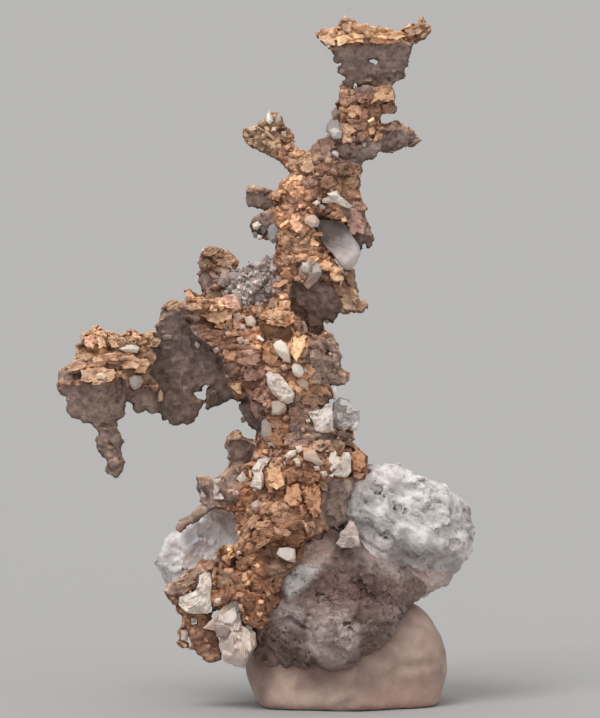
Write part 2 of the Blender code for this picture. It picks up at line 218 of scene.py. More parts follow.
def basis(yaw, pitch, roll=0.0):
    """Columns: the plate's right, its up, and its normal (to the back)."""
    cy, sy, cp, sp, cr, sr = (
        math.cos(yaw), math.sin(yaw), math.cos(pitch), math.sin(pitch), math.cos(roll), math.sin(roll),
    )
    rz = np.array([[cy, -sy, 0], [sy, cy, 0], [0, 0, 1]])
    rx = np.array([[1, 0, 0], [0, cp, -sp], [0, sp, cp]])
    ry = np.array([[cr, 0, sr], [0, 1, 0], [-sr, 0, cr]])
    m = rz @ rx @ ry
    return m[:, 0], m[:, 2], m[:, 1]


def plate(field_window, outline, depth, thick, yaw=0.0, pitch=0.0, holes=(), rounding=0.12):
    """A flake with a drawn outline (sheet columns and rows), as a distance."""
    X, Y, Z = field_window
    pts = np.array(outline, float)
    centre = at(pts[:, 0].mean(), pts[:, 1].mean(), depth)
    right, up, normal = basis(yaw, pitch)
    dx, dy, dz = X - centre[0], Y - centre[1], Z - centre[2]
    U = dx * right[0] + dy * right[1] + dz * right[2]
    V = dx * up[0] + dy * up[1] + dz * up[2]
    W = dx * normal[0] + dy * normal[1] + dz * normal[2]

    def local(loop):
        loop = np.array(loop, float)
        return np.stack(
            [(loop[:, 0] - pts[:, 0].mean()) / SHEET, (pts[:, 1].mean() - loop[:, 1]) / SHEET], axis=1
        )

    flat = polygon_distance(U, V, local(outline))
    for hole in holes:
        flat = np.maximum(flat, -polygon_distance(U, V, local(hole)))
    flat = flat + rounding
    side = np.abs(W) - thick / 2 + rounding
    return (
        np.minimum(np.maximum(flat, side), 0)
        + np.sqrt(np.maximum(flat, 0) ** 2 + np.maximum(side, 0) ** 2)
        - rounding
    ).astype(F32)


def shape_box(strokes, plates):
    lo, hi = np.full(3, 1e9), np.full(3, -1e9)
    for stroke in strokes:
        for p in stroke:
            c, r = at(*p[:3]), p[3] / SHEET
            lo, hi = np.minimum(lo, c - r), np.maximum(hi, c + r)
    for spec in plates:
        outline, depth, thick = spec[0], spec[1], spec[2]
        for c, r in outline:
            p = at(c, r, depth)
            lo, hi = np.minimum(lo, p - thick - 0.3), np.maximum(hi, p + thick + 0.3)
    return lo - REACH, hi + REACH


def shape_distance(field, strokes, plates, blend=0.35):
    """The window and the distances of a piece drawn with strokes and plates."""
    lo, hi = shape_box(strokes, plates)
    where, xyz = field.window(lo, hi)
    shape = tuple(s.stop - s.start for s in where)
    d = np.full(shape, 9.0, F32)
    for stroke in strokes:
        squash = (1, 1, 1)
        pairs = list(zip(stroke, stroke[1:])) or [(stroke[0], stroke[0])]
        for p, q in pairs:
            a, b = at(*p[:3]), at(*q[:3])
            ra, rb = p[3] / SHEET, q[3] / SHEET
            r = max(ra, rb) + REACH
            w, grid = field.window(np.minimum(a, b) - r, np.maximum(a, b) + r)
            if w is None:
                continue
            inner = tuple(
                slice(max(s.start, o.start) - o.start, min(s.stop, o.stop) - o.start)
                for s, o in zip(w, where)
            )
            cut = tuple(
                slice(i.start + o.start - s.start, i.stop + o.start - s.start)
                for i, o, s in zip(inner, where, w)
            )
            grid = [g[tuple(c if g.shape[k] > 1 else slice(None) for k, c in enumerate(cut))] for g in grid]
            d[inner] = smin(d[inner], capsule(grid, a, b, ra, rb, squash), blend)
    for spec in plates:
        d = smin(d, plate(xyz, *spec), 0.2)
    return where, d


def surface_net(F, lo, v):
    """Vertices (millimetres) and quads where the field crosses zero."""
    inside = F < 0
    count = np.zeros(tuple(s - 1 for s in F.shape), np.int8)
    corners = [(i, j, k) for i in (0, 1) for j in (0, 1) for k in (0, 1)]
    for i, j, k in corners:
        count += inside[i : F.shape[0] - 1 + i, j : F.shape[1] - 1 + j, k : F.shape[2] - 1 + k]
    crossing = (count > 0) & (count < 8)
    cell = np.argwhere(crossing)
    number = np.full(crossing.shape, -1, np.int32)
    number[crossing] = np.arange(len(cell))
    value = {c: F[cell[:, 0] + c[0], cell[:, 1] + c[1], cell[:, 2] + c[2]] for c in corners}
    total = np.zeros((len(cell), 3), np.float64)
    hits = np.zeros(len(cell))
    for a in corners:
        for axis in range(3):
            if a[axis]:
                continue
            b = list(a)
            b[axis] = 1
            fa, fb = value[a], value[tuple(b)]
            cross = (fa < 0) != (fb < 0)
            t = np.where(cross, fa / np.where(fa == fb, 1, fa - fb), 0)
            for k in range(3):
                total[:, k] += np.where(cross, a[k] + (t if k == axis else 0), 0)
            hits += cross
    verts = lo + (cell + total / hits[:, None]) * v
    quads = []
    for axis in range(3):
        one, two = [k for k in range(3) if k != axis]
        first = [slice(None)] * 3
        next_ = [slice(None)] * 3
        first[axis], next_[axis] = slice(0, -1), slice(1, None)
        a, b = inside[tuple(first)], inside[tuple(next_)]
        at_ = np.argwhere(a != b)
        ok = (at_[:, one] > 0) & (at_[:, two] > 0)
        ok &= (at_[:, one] < F.shape[one] - 1) & (at_[:, two] < F.shape[two] - 1)
        at_ = at_[ok]
        way = a[tuple(at_.T)]
        ring = []
        for du, dv in ((-1, -1), (0, -1), (0, 0), (-1, 0)):
            c = at_.copy()
            c[:, one] += du
            c[:, two] += dv
            ring.append(number[tuple(c.T)])
        quad = np.stack(ring, axis=1)
        if axis == 1:
            way = ~way
        quad[~way] = quad[~way][:, ::-1]
        quads.append(quad)
    quads = np.concatenate(quads)
    return verts, quads[(quads >= 0).all(axis=1)]


def split_quads(verts, quads):
    """Triangles, each quad cut along its shorter diagonal."""
    a = np.linalg.norm(verts[quads[:, 0]] - verts[quads[:, 2]], axis=1)
    b = np.linalg.norm(verts[quads[:, 1]] - verts[quads[:, 3]], axis=1)
    flip = b < a
    q = np.where(flip[:, None], np.roll(quads, -1, axis=1), quads)
    return np.concatenate([q[:, [0, 1, 2]], q[:, [0, 2, 3]]])


def vertex_normals(verts, tris):
    n = np.cross(verts[tris[:, 1]] - verts[tris[:, 0]], verts[tris[:, 2]] - verts[tris[:, 0]])
    out = np.zeros_like(verts)
    for k in range(3):
        for c in range(3):
            out[:, c] += np.bincount(tris[:, k], weights=n[:, c], minlength=len(verts))
    return out / np.maximum(np.linalg.norm(out, axis=1, keepdims=True), 1e-12)


def largest_parts(verts, tris, least):
    """Drops islands of fewer than `least` triangles."""
    label = np.arange(len(verts))
    edges = np.concatenate([tris[:, [0, 1]], tris[:, [1, 2]]])
    while True:
        low = np.minimum(label[edges[:, 0]], label[edges[:, 1]])
        new = label.copy()
        np.minimum.at(new, edges[:, 0], low)
        np.minimum.at(new, edges[:, 1], low)
        new = new[new]
        new = new[new]
        if (new == label).all():
            break
        label = new
    root = label[tris[:, 0]]
    ids, inverse, counts = np.unique(root, return_inverse=True, return_counts=True)
    keep = counts[inverse] >= least
    tris = tris[keep]
    used = np.unique(tris)
    remap = np.full(len(verts), -1)
    remap[used] = np.arange(len(used))
    return verts[used], remap[tris]


# ================================================================= meshes
def make_object(name, verts, tris, tint=None, extra=None, smooth=False, material=None, crisp=0):
    """An object from millimetre points and triangles, with its colour attributes."""
    mesh = bpy.data.meshes.new(name)
    mesh.vertices.add(len(verts))
    mesh.vertices.foreach_set("co", (np.asarray(verts, float) * 0.001).astype(F32).ravel())
    mesh.loops.add(len(tris) * 3)
    mesh.loops.foreach_set("vertex_index", np.ascontiguousarray(tris, np.int32).ravel())
    mesh.polygons.add(len(tris))
    mesh.polygons.foreach_set("loop_start", np.arange(0, len(tris) * 3, 3, dtype=np.int32))
    mesh.update(calc_edges=True)
    mesh.validate()
    flags = np.full(len(mesh.polygons), smooth) if np.isscalar(smooth) else np.asarray(smooth, bool)
    mesh.polygons.foreach_set("use_smooth", flags)
    if tint is not None:
        layer = mesh.attributes.new("tint", "FLOAT_COLOR", "POINT")
        rgba = np.ones((len(verts), 4), F32)
        rgba[:, :3] = tint
        layer.data.foreach_set("color", rgba.ravel())
    if extra is not None:
        layer = mesh.attributes.new("wear_and_shade", "FLOAT_COLOR", "POINT")
        rgba = np.ones((len(verts), 4), F32)
        rgba[:, : extra.shape[1]] = extra
        layer.data.foreach_set("color", rgba.ravel())
    if crisp:
        mesh.set_sharp_from_angle(angle=math.radians(crisp))
    obj = bpy.data.objects.new(name, mesh)
    bpy.context.scene.collection.objects.link(obj)
    if material:
        mesh.materials.append(material)
    return obj


# ============================================================== the copper
# Strokes are lists of (column, row, depth, radius). Plates are (outline,
# depth, thickness in millimetres, yaw, pitch).
COPPER = {
    "copper_trunk_lower": (
        [
            [(258, 622, -52, 17), (254, 600, -50, 24), (262, 575, -48, 30), (275, 550, -46, 36),
             (288, 520, -40, 42), (300, 490, -30, 44), (306, 462, -22, 40), (302, 446, -18, 37)],
            [(235, 590, -44, 22), (205, 575, -30, 16), (190, 582, -24, 10)],
            [(325, 505, -30, 22), (330, 485, -26, 22)],
            [(352, 462, -26, 12), (358, 470, -26, 10)],
            [(245, 448, -6, 20), (235, 440, 0, 10)],
            [(262, 440, 20, 26), (290, 440, 26, 26)],
            [(330, 436, -10, 14), (342, 440, -8, 10)],
            [(290, 500, 10, 34), (300, 470, 20, 30)],
            [(258, 512, -66, 8), (280, 507, -78, 8), (304, 508, -72, 7)],
            [(262, 530, -76, 8), (288, 524, -80, 9), (306, 530, -70, 6)],
            [(244, 545, -68, 8), (268, 540, -80, 8), (296, 545, -72, 7)],
            [(226, 552, -50, 8), (236, 548, -60, 7)],
        ],
        [
            ([(231, 440), (262, 436), (335, 432), (353, 434), (352, 443), (366, 456), (367, 472),
              (350, 478), (346, 500), (345, 520), (318, 530), (240, 540), (236, 514), (232, 480),
              (230, 462)], -14, 2.0, 0.0, 0.0),
            ([(268, 468), (280, 466), (287, 482), (278, 491), (267, 482)], -66, 0.9, -0.25, -0.35),
            ([(216, 552), (250, 545), (280, 560), (281, 590), (277, 606), (262, 627), (246, 622),
              (240, 600), (228, 597), (214, 590), (214, 570)], -42, 2.0, 0.0, 0.0),
        ],
    ),
    "copper_trunk_middle": (
        [
            [(300, 438, -16, 36), (294, 415, -12, 34), (286, 390, -8, 38), (286, 365, -4, 42),
             (285, 340, -2, 42), (290, 318, 0, 34)],
            [(318, 350, 4, 22), (334, 370, 2, 13), (342, 378, 2, 8)],
            [(326, 396, -8, 12), (316, 380, -4, 20)],
            [(282, 398, 34, 18), (272, 388, 58, 13), (262, 376, 76, 6)],
            [(250, 311, -32, 5), (262, 316, -40, 6), (280, 317, -42, 7), (296, 315, -34, 6)],
            [(300, 318, -30, 7), (306, 330, -30, 6)],
            [(296, 336, -40, 6), (302, 346, -42, 6), (297, 358, -40, 6)],
        ],
        [
            ([(280, 320), (322, 330), (333, 336), (340, 357), (339, 368), (347, 374), (346, 383),
              (333, 385), (333, 397), (326, 404), (262, 404), (250, 399)], -4, 2.0, 0.0, 0.0),
        ],
    ),
    "copper_trunk_upper": (
        [
            [(297, 300, 0, 24), (297, 270, 0, 25), (294, 240, 0, 23), (295, 215, 0, 22),
             (303, 192, 2, 26), (318, 176, 4, 30), (330, 165, 6, 26)],
            [(318, 300, 4, 20), (326, 308, 6, 12)],
            [(300, 262, 24, 14), (304, 246, 44, 10), (308, 236, 56, 5)],
            [(312, 172, 26, 13), (306, 164, 42, 8)],
            [(276, 196, -10, 5), (290, 194, -20, 6), (306, 196, -22, 5)],
            [(318, 142, 2, 9), (320, 156, 0, 11)],
        ],
        [
            ([(292, 172), (312, 150), (330, 146), (360, 158), (360, 192), (346, 200), (330, 240),
              (330, 290), (282, 290), (278, 250), (275, 222), (277, 202), (272, 194), (281, 184)],
             4, 1.6, 0.0, 0.0),
            ([(292, 285), (340, 285), (342, 306), (333, 321), (323, 321), (322, 332), (296, 332)],
             8, 1.6, 0.0, 0.25),
        ],
    ),
    "copper_head": (
        [
            [(342, 160, 8, 20), (352, 140, 8, 24), (358, 120, 8, 22), (366, 100, 8, 22), (366, 88, 8, 19)],
            [(388, 106, 6, 8), (380, 95, 0, 14)],
            [(321, 35, -6, 6), (338, 36, -10, 9), (366, 35, -12, 9), (396, 38, -6, 8), (414, 31, 2, 7),
             (426, 28, 8, 5)],
            [(344, 23, -8, 5), (354, 27, -8, 6)],
            [(421, 20, 8, 4), (418, 30, 6, 6)],
            [(346, 112, -12, 6), (352, 106, -14, 5)],
        ],
        [
            ([(330, 42), (344, 32), (400, 32), (412, 42), (411, 51), (406, 62), (409, 65), (403, 69),
              (404, 77), (400, 80), (390, 83), (386, 100), (345, 100), (345, 84), (346, 76), (338, 73),
              (342, 61), (334, 61), (336, 54)], 7, 1.5, 0.06, 0.36),
            ([(341, 90), (390, 84), (394, 98), (396, 108), (380, 114), (380, 128), (376, 150),
              (374, 158), (362, 162), (345, 166), (336, 140), (341, 128), (338, 108)], 6, 1.6, 0, 0),
        ],
    ),
    "copper_left_arm": (
        [
            [(240, 346, -4, 44), (210, 352, -8, 44), (182, 352, -12, 42), (150, 366, -16, 32),
             (120, 368, -20, 32), (96, 368, -22, 34), (76, 385, -20, 20), (64, 388, -20, 8)],
            [(182, 380, -12, 34), (215, 370, -8, 30)],
            [(98, 330, -20, 7), (100, 345, -20, 10)],
            [(182, 408, -12, 20), (152, 400, -14, 13), (138, 400, -14, 12)],
            [(178, 312, -12, 16), (168, 322, -12, 12)],
            [(228, 392, -6, 14), (212, 396, -8, 12)],
            [(100, 400, -22, 22), (82, 400, -20, 18)],
            [(166, 308, -44, 6), (184, 306, -48, 7), (204, 307, -46, 7), (226, 308, -42, 8)],
            [(190, 292, -14, 4), (194, 304, -20, 7)],
            [(84, 340, -44, 8), (100, 341, -50, 8), (120, 344, -48, 7), (146, 341, -44, 7), (158, 337, -38, 5)],
            [(74, 366, -42, 5), (90, 361, -52, 6), (112, 358, -54, 6), (134, 362, -50, 6)],
            [(66, 386, -34, 4), (84, 381, -52, 5), (104, 378, -58, 6), (118, 377, -54, 5)],
            [(168, 341, -40, 4), (180, 341, -38, 4)],
        ],
        [
            ([(232, 399), (224, 402), (211, 408), (207, 410), (204, 402), (200, 410), (195, 421),
              (187, 425), (181, 420), (178, 425), (171, 425), (169, 420), (163, 421), (162, 413),
              (149, 413), (147, 408), (138, 413), (134, 409), (130, 402), (126, 400), (125, 415),
              (117, 421), (90, 422), (72, 417), (68, 411), (68, 396), (60, 388), (61, 371), (73, 364),
              (79, 350), (84, 335), (97, 330), (118, 334), (148, 334), (162, 325), (163, 308),
              (176, 302), (200, 302), (240, 300), (256, 340), (248, 399)], -12, 2.0, 0.0, 0.0),
        ],
    ),
    "copper_left_spur": (
        [[(108, 412, -22, 14), (109, 440, -20, 13), (113, 460, -20, 11), (117, 475, -20, 4)]],
        [([(94, 418), (122, 416), (117, 424), (117, 430), (123, 443), (121, 452), (124, 462), (122, 472),
           (116, 478), (106, 471), (108, 459), (99, 450), (97, 440), (101, 433)], -20, 1.3, 0, 0)],
    ),
    "copper_arm_knob": (
        [
            [(216, 304, -2, 14), (211, 285, 0, 13), (210, 268, 0, 12), (216, 258, 0, 13), (230, 262, 0, 9)],
            [(200, 304, -4, 8), (191, 293, -4, 5)],
            [(206, 252, -8, 6), (220, 254, -10, 5), (233, 261, -6, 5)],
        ],
        [([(203, 297), (199, 274), (202, 268), (198, 260), (203, 251), (213, 247), (233, 255), (238, 264),
           (224, 274), (226, 298)], 0, 1.2, 0.2, 0.15)],
    ),
    "copper_upper_left_branch": (
        [
            [(300, 168, 6, 14), (285, 158, 14, 12), (274, 146, 16, 13), (266, 134, 20, 14), (252, 136, 20, 9)],
            [(270, 122, 24, 9), (284, 132, 20, 10)],
            [(250, 131, 14, 4), (246, 137, 12, 4), (252, 143, 12, 4), (262, 147, 14, 5), (276, 154, 12, 5)],
            [(300, 155, 2, 7), (288, 150, 10, 6)],
        ],
        [([(296, 176), (285, 165), (272, 155), (258, 150), (246, 140), (245, 130), (258, 128), (262, 120),
           (278, 114), (284, 124), (294, 136), (293, 148), (308, 154), (316, 170)], 16, 1.2, 0.15, 0.0)],
    ),
    "copper_right_stub": (
        [[(378, 136, 8, 13), (394, 136, 10, 13), (408, 139, 12, 8), (418, 140, 12, 3)]],
        [([(372, 128), (384, 125), (397, 122), (410, 128), (420, 140), (413, 146), (396, 150), (388, 152),
           (372, 152)], 8, 1.1, 0.12, 0.2)],
    ),
    "copper_right_plate": (
        [
            [(345, 186, 8, 13), (352, 200, 8, 13), (357, 216, 8, 13), (362, 232, 8, 11), (368, 242, 8, 5)],
            [(360, 240, 8, 7), (360, 251, 8, 3)],
            [(324, 209, -12, 5), (336, 211, -14, 6), (345, 214, -12, 5)],
        ],
        [([(341, 190), (358, 197), (366, 207), (364, 213), (370, 230), (373, 241), (368, 248), (365, 242),
           (361, 250), (358, 255), (354, 246), (346, 236), (343, 222), (328, 222), (321, 212), (326, 204)],
          4, 1.1, -0.15, 0.2)],
    ),
    "copper_right_flake": (
        [
            [(326, 276, 6, 14), (340, 280, 8, 13), (348, 294, 8, 12), (356, 304, 8, 8), (366, 305, 8, 3)],
            [(330, 306, 6, 12)],
            [(328, 262, -8, 6), (336, 275, -12, 6), (338, 280, -10, 5)],
            [(346, 290, -4, 7), (352, 302, -4, 7)],
        ],
        [([(320, 282), (323, 262), (333, 258), (340, 270), (347, 268), (353, 270), (354, 279), (357, 288),
           (356, 297), (368, 304), (362, 312), (343, 313), (330, 305)], 8, 1.3, -0.1, 0.0)],
    ),
    "copper_left_flake_upper": (
        [[(280, 200, 2, 8), (268, 200, 2, 6)]],
        [([(247, 186), (257, 185), (270, 191), (280, 194), (280, 206), (264, 210), (250, 207), (245, 202)],
          2, 1.0, 0.2, 0.1)],
    ),
    "copper_left_flake_lower": (
        [[(280, 222, 4, 8), (262, 230, 6, 7)]],
        [([(276, 210), (262, 213), (252, 221), (250, 231), (257, 239), (268, 239), (276, 232)],
          4, 1.0, -0.2, 0.1)],
    ),
    "copper_low_left_flake": (
        [
            [(214, 606, -30, 7), (207, 617, -32, 7), (190, 618, -32, 4), (185, 622, -32, 3)],
            [(185, 622, -32, 3), (186, 629, -33, 3), (198, 629, -34, 5)],
            [(198, 629, -34, 4), (200, 618, -33, 4)],
            [(186, 629, -33, 3), (180, 632, -34, 3), (179, 643, -35, 3), (186, 646, -35, 3), (196, 645, -35, 5)],
        ],
        [([(191, 630), (204, 628), (213, 632), (219, 645), (221, 661), (207, 661), (198, 652), (190, 644)],
          -36, 1.0, 0.1, 0.0)],
    ),
    "copper_dark_blade": (
        [[(262, 412, 0, 9), (252, 410, 0, 8)]],
        [([(238, 403), (250, 401), (264, 402), (264, 430), (256, 430), (250, 425), (241, 412)], 0, 1.0, 0.1, 0.1)],
    ),
    "copper_left_twigs": (
        [
            [(256, 500, -16, 22), (236, 488, -12, 18), (214, 486, -8, 12), (202, 484, -6, 6)],
            [(240, 470, -8, 16), (236, 486, -10, 16)],
            [(236, 508, -14, 9), (214, 505, -14, 4), (196, 515, -14, 4), (179, 528, -14, 3)],
            [(212, 484, -6, 3), (211, 503, -12, 2.5)],
            [(206, 482, -6, 3), (198, 477, -6, 2)],
            [(206, 488, -6, 3), (197, 489, -6, 2)],
        ],
        [([(229, 462), (262, 462), (262, 512), (236, 513), (224, 506), (212, 502), (212, 482), (224, 474)],
          -12, 1.2, 0, 0)],
    ),
    "copper_low_left_ridge": (
        [[(214, 566, -34, 7), (200, 567, -34, 7), (186, 577, -32, 7), (172, 589, -30, 5)]],
        [([(219, 560), (203, 560), (186, 574), (169, 583), (167, 592), (173, 596), (184, 590), (196, 585),
           (206, 572), (219, 571)], -32, 1.0, 0, 0.1)],
    ),
}

# What shows of the copper from the front: nothing of it stands outside these.
SILHOUETTE = [
    [(317, 35), (321, 30), (330, 30), (338, 29), (340, 22), (344, 18), (349, 22), (353, 20), (358, 26),
     (370, 26), (385, 29), (397, 33), (402, 29), (410, 25), (417, 25), (419, 18), (422, 16), (426, 24),
     (431, 27), (430, 31), (424, 38), (415, 42), (408, 47), (411, 51), (406, 62), (409, 65), (403, 69),
     (404, 77), (400, 80), (390, 82), (388, 90), (345, 90), (340, 86), (345, 84), (346, 76), (338, 73),
     (342, 61), (337, 63), (334, 61), (336, 54), (330, 50), (320, 40)],
    [(341, 80), (390, 80), (393, 91), (394, 98), (391, 102), (396, 106), (395, 112), (388, 114), (380, 113),
     (379, 119), (381, 124), (380, 128), (384, 124), (397, 122), (404, 124), (410, 128), (416, 135),
     (420, 140), (413, 146), (404, 147), (396, 150), (388, 152), (376, 150), (376, 155), (374, 158),
     (368, 158), (362, 162), (363, 168), (360, 174), (359, 182), (358, 192), (330, 196), (312, 170),
     (309, 156), (315, 144), (321, 140), (328, 136), (336, 138), (341, 130), (339, 120), (337, 109),
     (339, 104), (336, 104), (340, 98)],
    [(312, 150), (306, 153), (300, 150), (293, 147), (294, 141), (294, 135), (288, 130), (283, 124),
     (279, 113), (272, 112), (266, 119), (259, 121), (257, 128), (250, 128), (245, 129), (243, 133),
     (246, 140), (250, 145), (258, 150), (264, 151), (272, 155), (280, 160), (285, 165), (292, 173),
     (300, 190), (330, 190)],
    [(292, 172), (290, 178), (284, 180), (280, 183), (280, 189), (272, 191), (272, 197), (277, 201),
     (276, 210), (275, 222), (278, 228), (277, 240), (277, 248), (275, 258), (277, 266), (270, 280),
     (262, 300), (330, 300), (340, 290), (335, 262), (333, 255), (345, 250), (350, 243), (362, 205),
     (358, 192), (345, 165), (312, 150)],
    [(248, 186), (253, 185), (262, 188), (270, 192), (280, 194), (280, 206), (273, 206), (264, 210),
     (256, 207), (250, 207), (246, 202)],
    [(276, 208), (270, 210), (262, 213), (254, 219), (250, 226), (252, 233), (258, 239), (266, 239),
     (276, 232), (280, 220)],
    [(341, 190), (350, 192), (358, 197), (361, 203), (366, 207), (364, 212), (365, 219), (370, 230),
     (373, 240), (371, 246), (368, 248), (366, 243), (363, 242), (361, 250), (358, 255), (355, 246),
     (349, 240), (346, 234), (344, 222), (330, 222), (322, 214), (324, 205), (332, 203)],
    [(320, 285), (322, 262), (328, 256), (335, 262), (340, 270), (347, 268), (353, 270), (355, 277),
     (354, 280), (357, 287), (357, 295), (355, 297), (361, 302), (368, 304), (365, 310), (362, 313),
     (352, 311), (343, 313), (338, 312), (330, 300)],
    [(262, 288), (280, 270), (300, 250), (330, 262), (342, 290), (340, 308), (336, 316), (333, 322),
     (329, 320), (323, 320), (324, 327), (322, 330), (328, 333), (333, 335), (334, 341), (338, 348),
     (341, 357), (339, 362), (339, 368), (343, 371), (348, 373), (349, 379), (346, 384), (338, 385),
     (330, 384), (328, 387), (334, 391), (332, 398), (328, 400), (327, 405), (330, 440), (257, 440),
     (257, 400), (250, 400), (240, 399), (232, 398), (215, 350), (205, 310), (225, 296), (248, 296)],
    [(240, 399), (232, 398), (224, 401), (218, 405), (211, 407), (207, 410), (205, 403), (204, 402),
     (200, 410), (197, 415), (195, 421), (187, 425), (183, 424), (181, 420), (178, 425), (171, 425),
     (169, 420), (163, 421), (162, 413), (157, 413), (149, 413), (147, 408), (143, 411), (138, 413),
     (134, 409), (135, 403), (130, 402), (126, 400), (125, 404), (124, 410), (125, 415), (117, 421),
     (117, 430), (121, 436), (123, 443), (120, 450), (122, 456), (124, 462), (123, 470), (120, 476),
     (116, 478), (114, 475), (106, 471), (109, 465), (108, 459), (103, 456), (99, 450), (97, 440),
     (101, 434), (99, 430), (94, 425), (90, 422), (84, 422), (82, 419), (72, 417), (68, 411), (69, 403),
     (68, 396), (62, 393), (59, 388), (60, 380), (61, 371), (66, 368), (73, 364), (77, 358), (79, 350),
     (77, 345), (80, 344), (82, 346), (84, 340), (83, 335), (86, 333), (93, 331), (95, 326), (97, 324),
     (100, 327), (101, 331), (108, 331), (112, 333), (118, 334), (122, 337), (127, 333), (132, 330),
     (136, 332), (140, 335), (148, 334), (153, 333), (158, 331), (157, 326), (158, 324), (161, 321),
     (162, 312), (163, 308), (166, 305), (170, 302), (176, 301), (182, 304), (187, 303), (188, 299),
     (186, 292), (186, 288), (190, 288), (193, 292), (197, 295), (203, 296), (215, 292), (240, 296),
     (262, 320), (262, 380)],
    [(203, 297), (203, 290), (201, 283), (199, 274), (202, 270), (202, 267), (199, 262), (198, 259),
     (202, 257), (203, 251), (207, 248), (213, 247), (220, 249), (228, 252), (233, 255), (236, 258),
     (238, 264), (235, 268), (230, 269), (224, 274), (226, 290), (224, 302), (205, 304)],
    [(257, 436), (258, 444), (250, 440), (245, 440), (241, 436), (238, 430), (233, 431), (231, 434),
     (225, 443), (229, 452), (228, 460), (230, 465), (225, 473), (214, 480), (199, 476), (197, 479),
     (198, 484), (196, 489), (199, 491), (200, 502), (204, 503), (195, 512), (185, 518),
     (178, 524), (176, 530), (180, 532), (188, 526), (200, 520), (212, 508), (222, 508), (235, 514),
     (237, 530), (240, 545), (232, 545), (222, 547), (218, 553), (219, 560), (211, 561), (203, 560),
     (195, 568), (186, 574), (178, 582), (169, 583), (166, 592), (172, 602), (177, 612), (184, 617), (190, 606), (196, 588),
     (206, 572), (212, 570), (214, 585), (212, 600), (213, 612), (205, 614), (200, 612), (190, 613),
     (184, 617), (183, 627), (178, 632), (177, 643), (183, 648), (193, 647), (200, 655), (207, 661),
     (214, 662), (221, 660), (220, 646), (217, 634), (212, 626), (209, 622), (214, 617), (224, 606),
     (232, 598), (240, 600), (241, 610), (244, 622), (252, 626), (262, 628), (271, 618), (279, 605),
     (279, 590), (283, 578), (290, 570), (300, 562), (302, 552), (306, 540), (320, 531), (340, 527),
     (346, 520), (345, 505), (346, 498), (352, 490), (352, 478), (357, 480), (364, 480), (366, 473),
     (368, 463), (366, 456), (359, 450), (357, 448), (351, 443), (354, 437), (352, 431), (335, 430),
     (325, 420), (300, 405), (275, 405), (262, 405)],
    [(238, 403), (250, 401), (257, 403), (262, 405), (264, 428), (257, 430), (250, 425), (241, 412)],
]
HOLES = [
    [(353, 82), (356, 81), (358, 85), (355, 91), (352, 92)],
    [(366, 60), (372, 58), (379, 59), (378, 65), (375, 66), (370, 64)],
    [(353, 90), (354, 86), (357, 83), (358, 86), (355, 90)],
    [(191, 392), (196, 391), (201, 390), (201, 386), (207, 383), (212, 387), (207, 391), (207, 408),
     (204, 408), (204, 401), (197, 399)],
    [(190, 619), (197, 619), (198, 626), (191, 626)],
    [(182, 632), (188, 632), (190, 642), (184, 643)],
]

# Faces that fall back from the viewer: the outline, and the depths that they
# recede to at two rows.
RECEDING = [
    ([(332, 50), (345, 45), (352, 50), (362, 46), (376, 45), (384, 42), (412, 42), (416, 54), (412, 86),
      (392, 85), (372, 88), (340, 90), (328, 60)], (42, -14), (88, 5)),
    ([(158, 311), (168, 308), (182, 309), (186, 322), (194, 334), (206, 343), (206, 352), (156, 352),
      (154, 336), (155, 324)], (308, -30), (352, -25)),
    ([(152, 346), (168, 345), (190, 340), (206, 343), (216, 350), (222, 358), (224, 366), (226, 380),
      (236, 402), (205, 414), (190, 432), (158, 432), (158, 400), (160, 386), (150, 374), (158, 358)],
     (342, -26), (420, -4)),
    ([(64, 386), (84, 386), (104, 385), (118, 383), (122, 376), (127, 384), (128, 402), (126, 424),
      (92, 430), (70, 420), (60, 400)], (384, -40), (424, -26)),
    ([(126, 392), (158, 392), (160, 418), (128, 418)], (390, -28), (414, -16)),
    ([(60, 372), (76, 374), (90, 371), (96, 373), (82, 379), (66, 382), (59, 380)], (370, -42), (382, -40)),
    ([(293, 279), (300, 285), (318, 282), (328, 283), (340, 286), (343, 296), (342, 305), (341, 315),
      (333, 326), (326, 322), (326, 330), (318, 337), (306, 331), (300, 318), (291, 313), (289, 300)],
     (282, -16), (326, 6)),
    ([(262, 324), (272, 323), (285, 325), (291, 328), (293, 334), (289, 343), (281, 339), (268, 338),
      (262, 332)], (322, -22), (342, -26)),
    ([(330, 152), (345, 144), (360, 142), (378, 143), (380, 156), (362, 164), (345, 162)], (142, -10), (162, 0)),
    ([(326, 482), (354, 479), (354, 494), (348, 500), (349, 524), (330, 530), (320, 515)], (480, -44), (528, -32)),
    ([(344, 229), (349, 236), (360, 234), (370, 236), (376, 248), (356, 258), (346, 242)], (230, -2), (256, 6)),
    ([(246, 192), (258, 194), (268, 198), (274, 204), (264, 212), (244, 208)], (190, -4), (210, 4)),
    ([(202, 272), (212, 270), (221, 277), (212, 286), (204, 294), (199, 284)], (270, -8), (294, -3)),
    ([(231, 440), (244, 440), (256, 446), (250, 464), (232, 466), (226, 452)], (438, -16), (466, -8)),
    ([(384, 131), (404, 130), (420, 140), (404, 150), (380, 152)], (130, 0), (152, 8)),
]


def sheet_map(loops, columns, rows):
    U, V = np.meshgrid(np.asarray(columns, F32), np.asarray(rows, F32), indexing="ij")
    total = np.full(U.shape, 1e9, F32)
    for loop in loops:
        total = np.minimum(total, polygon_distance(U, V, loop))
    return total / SHEET


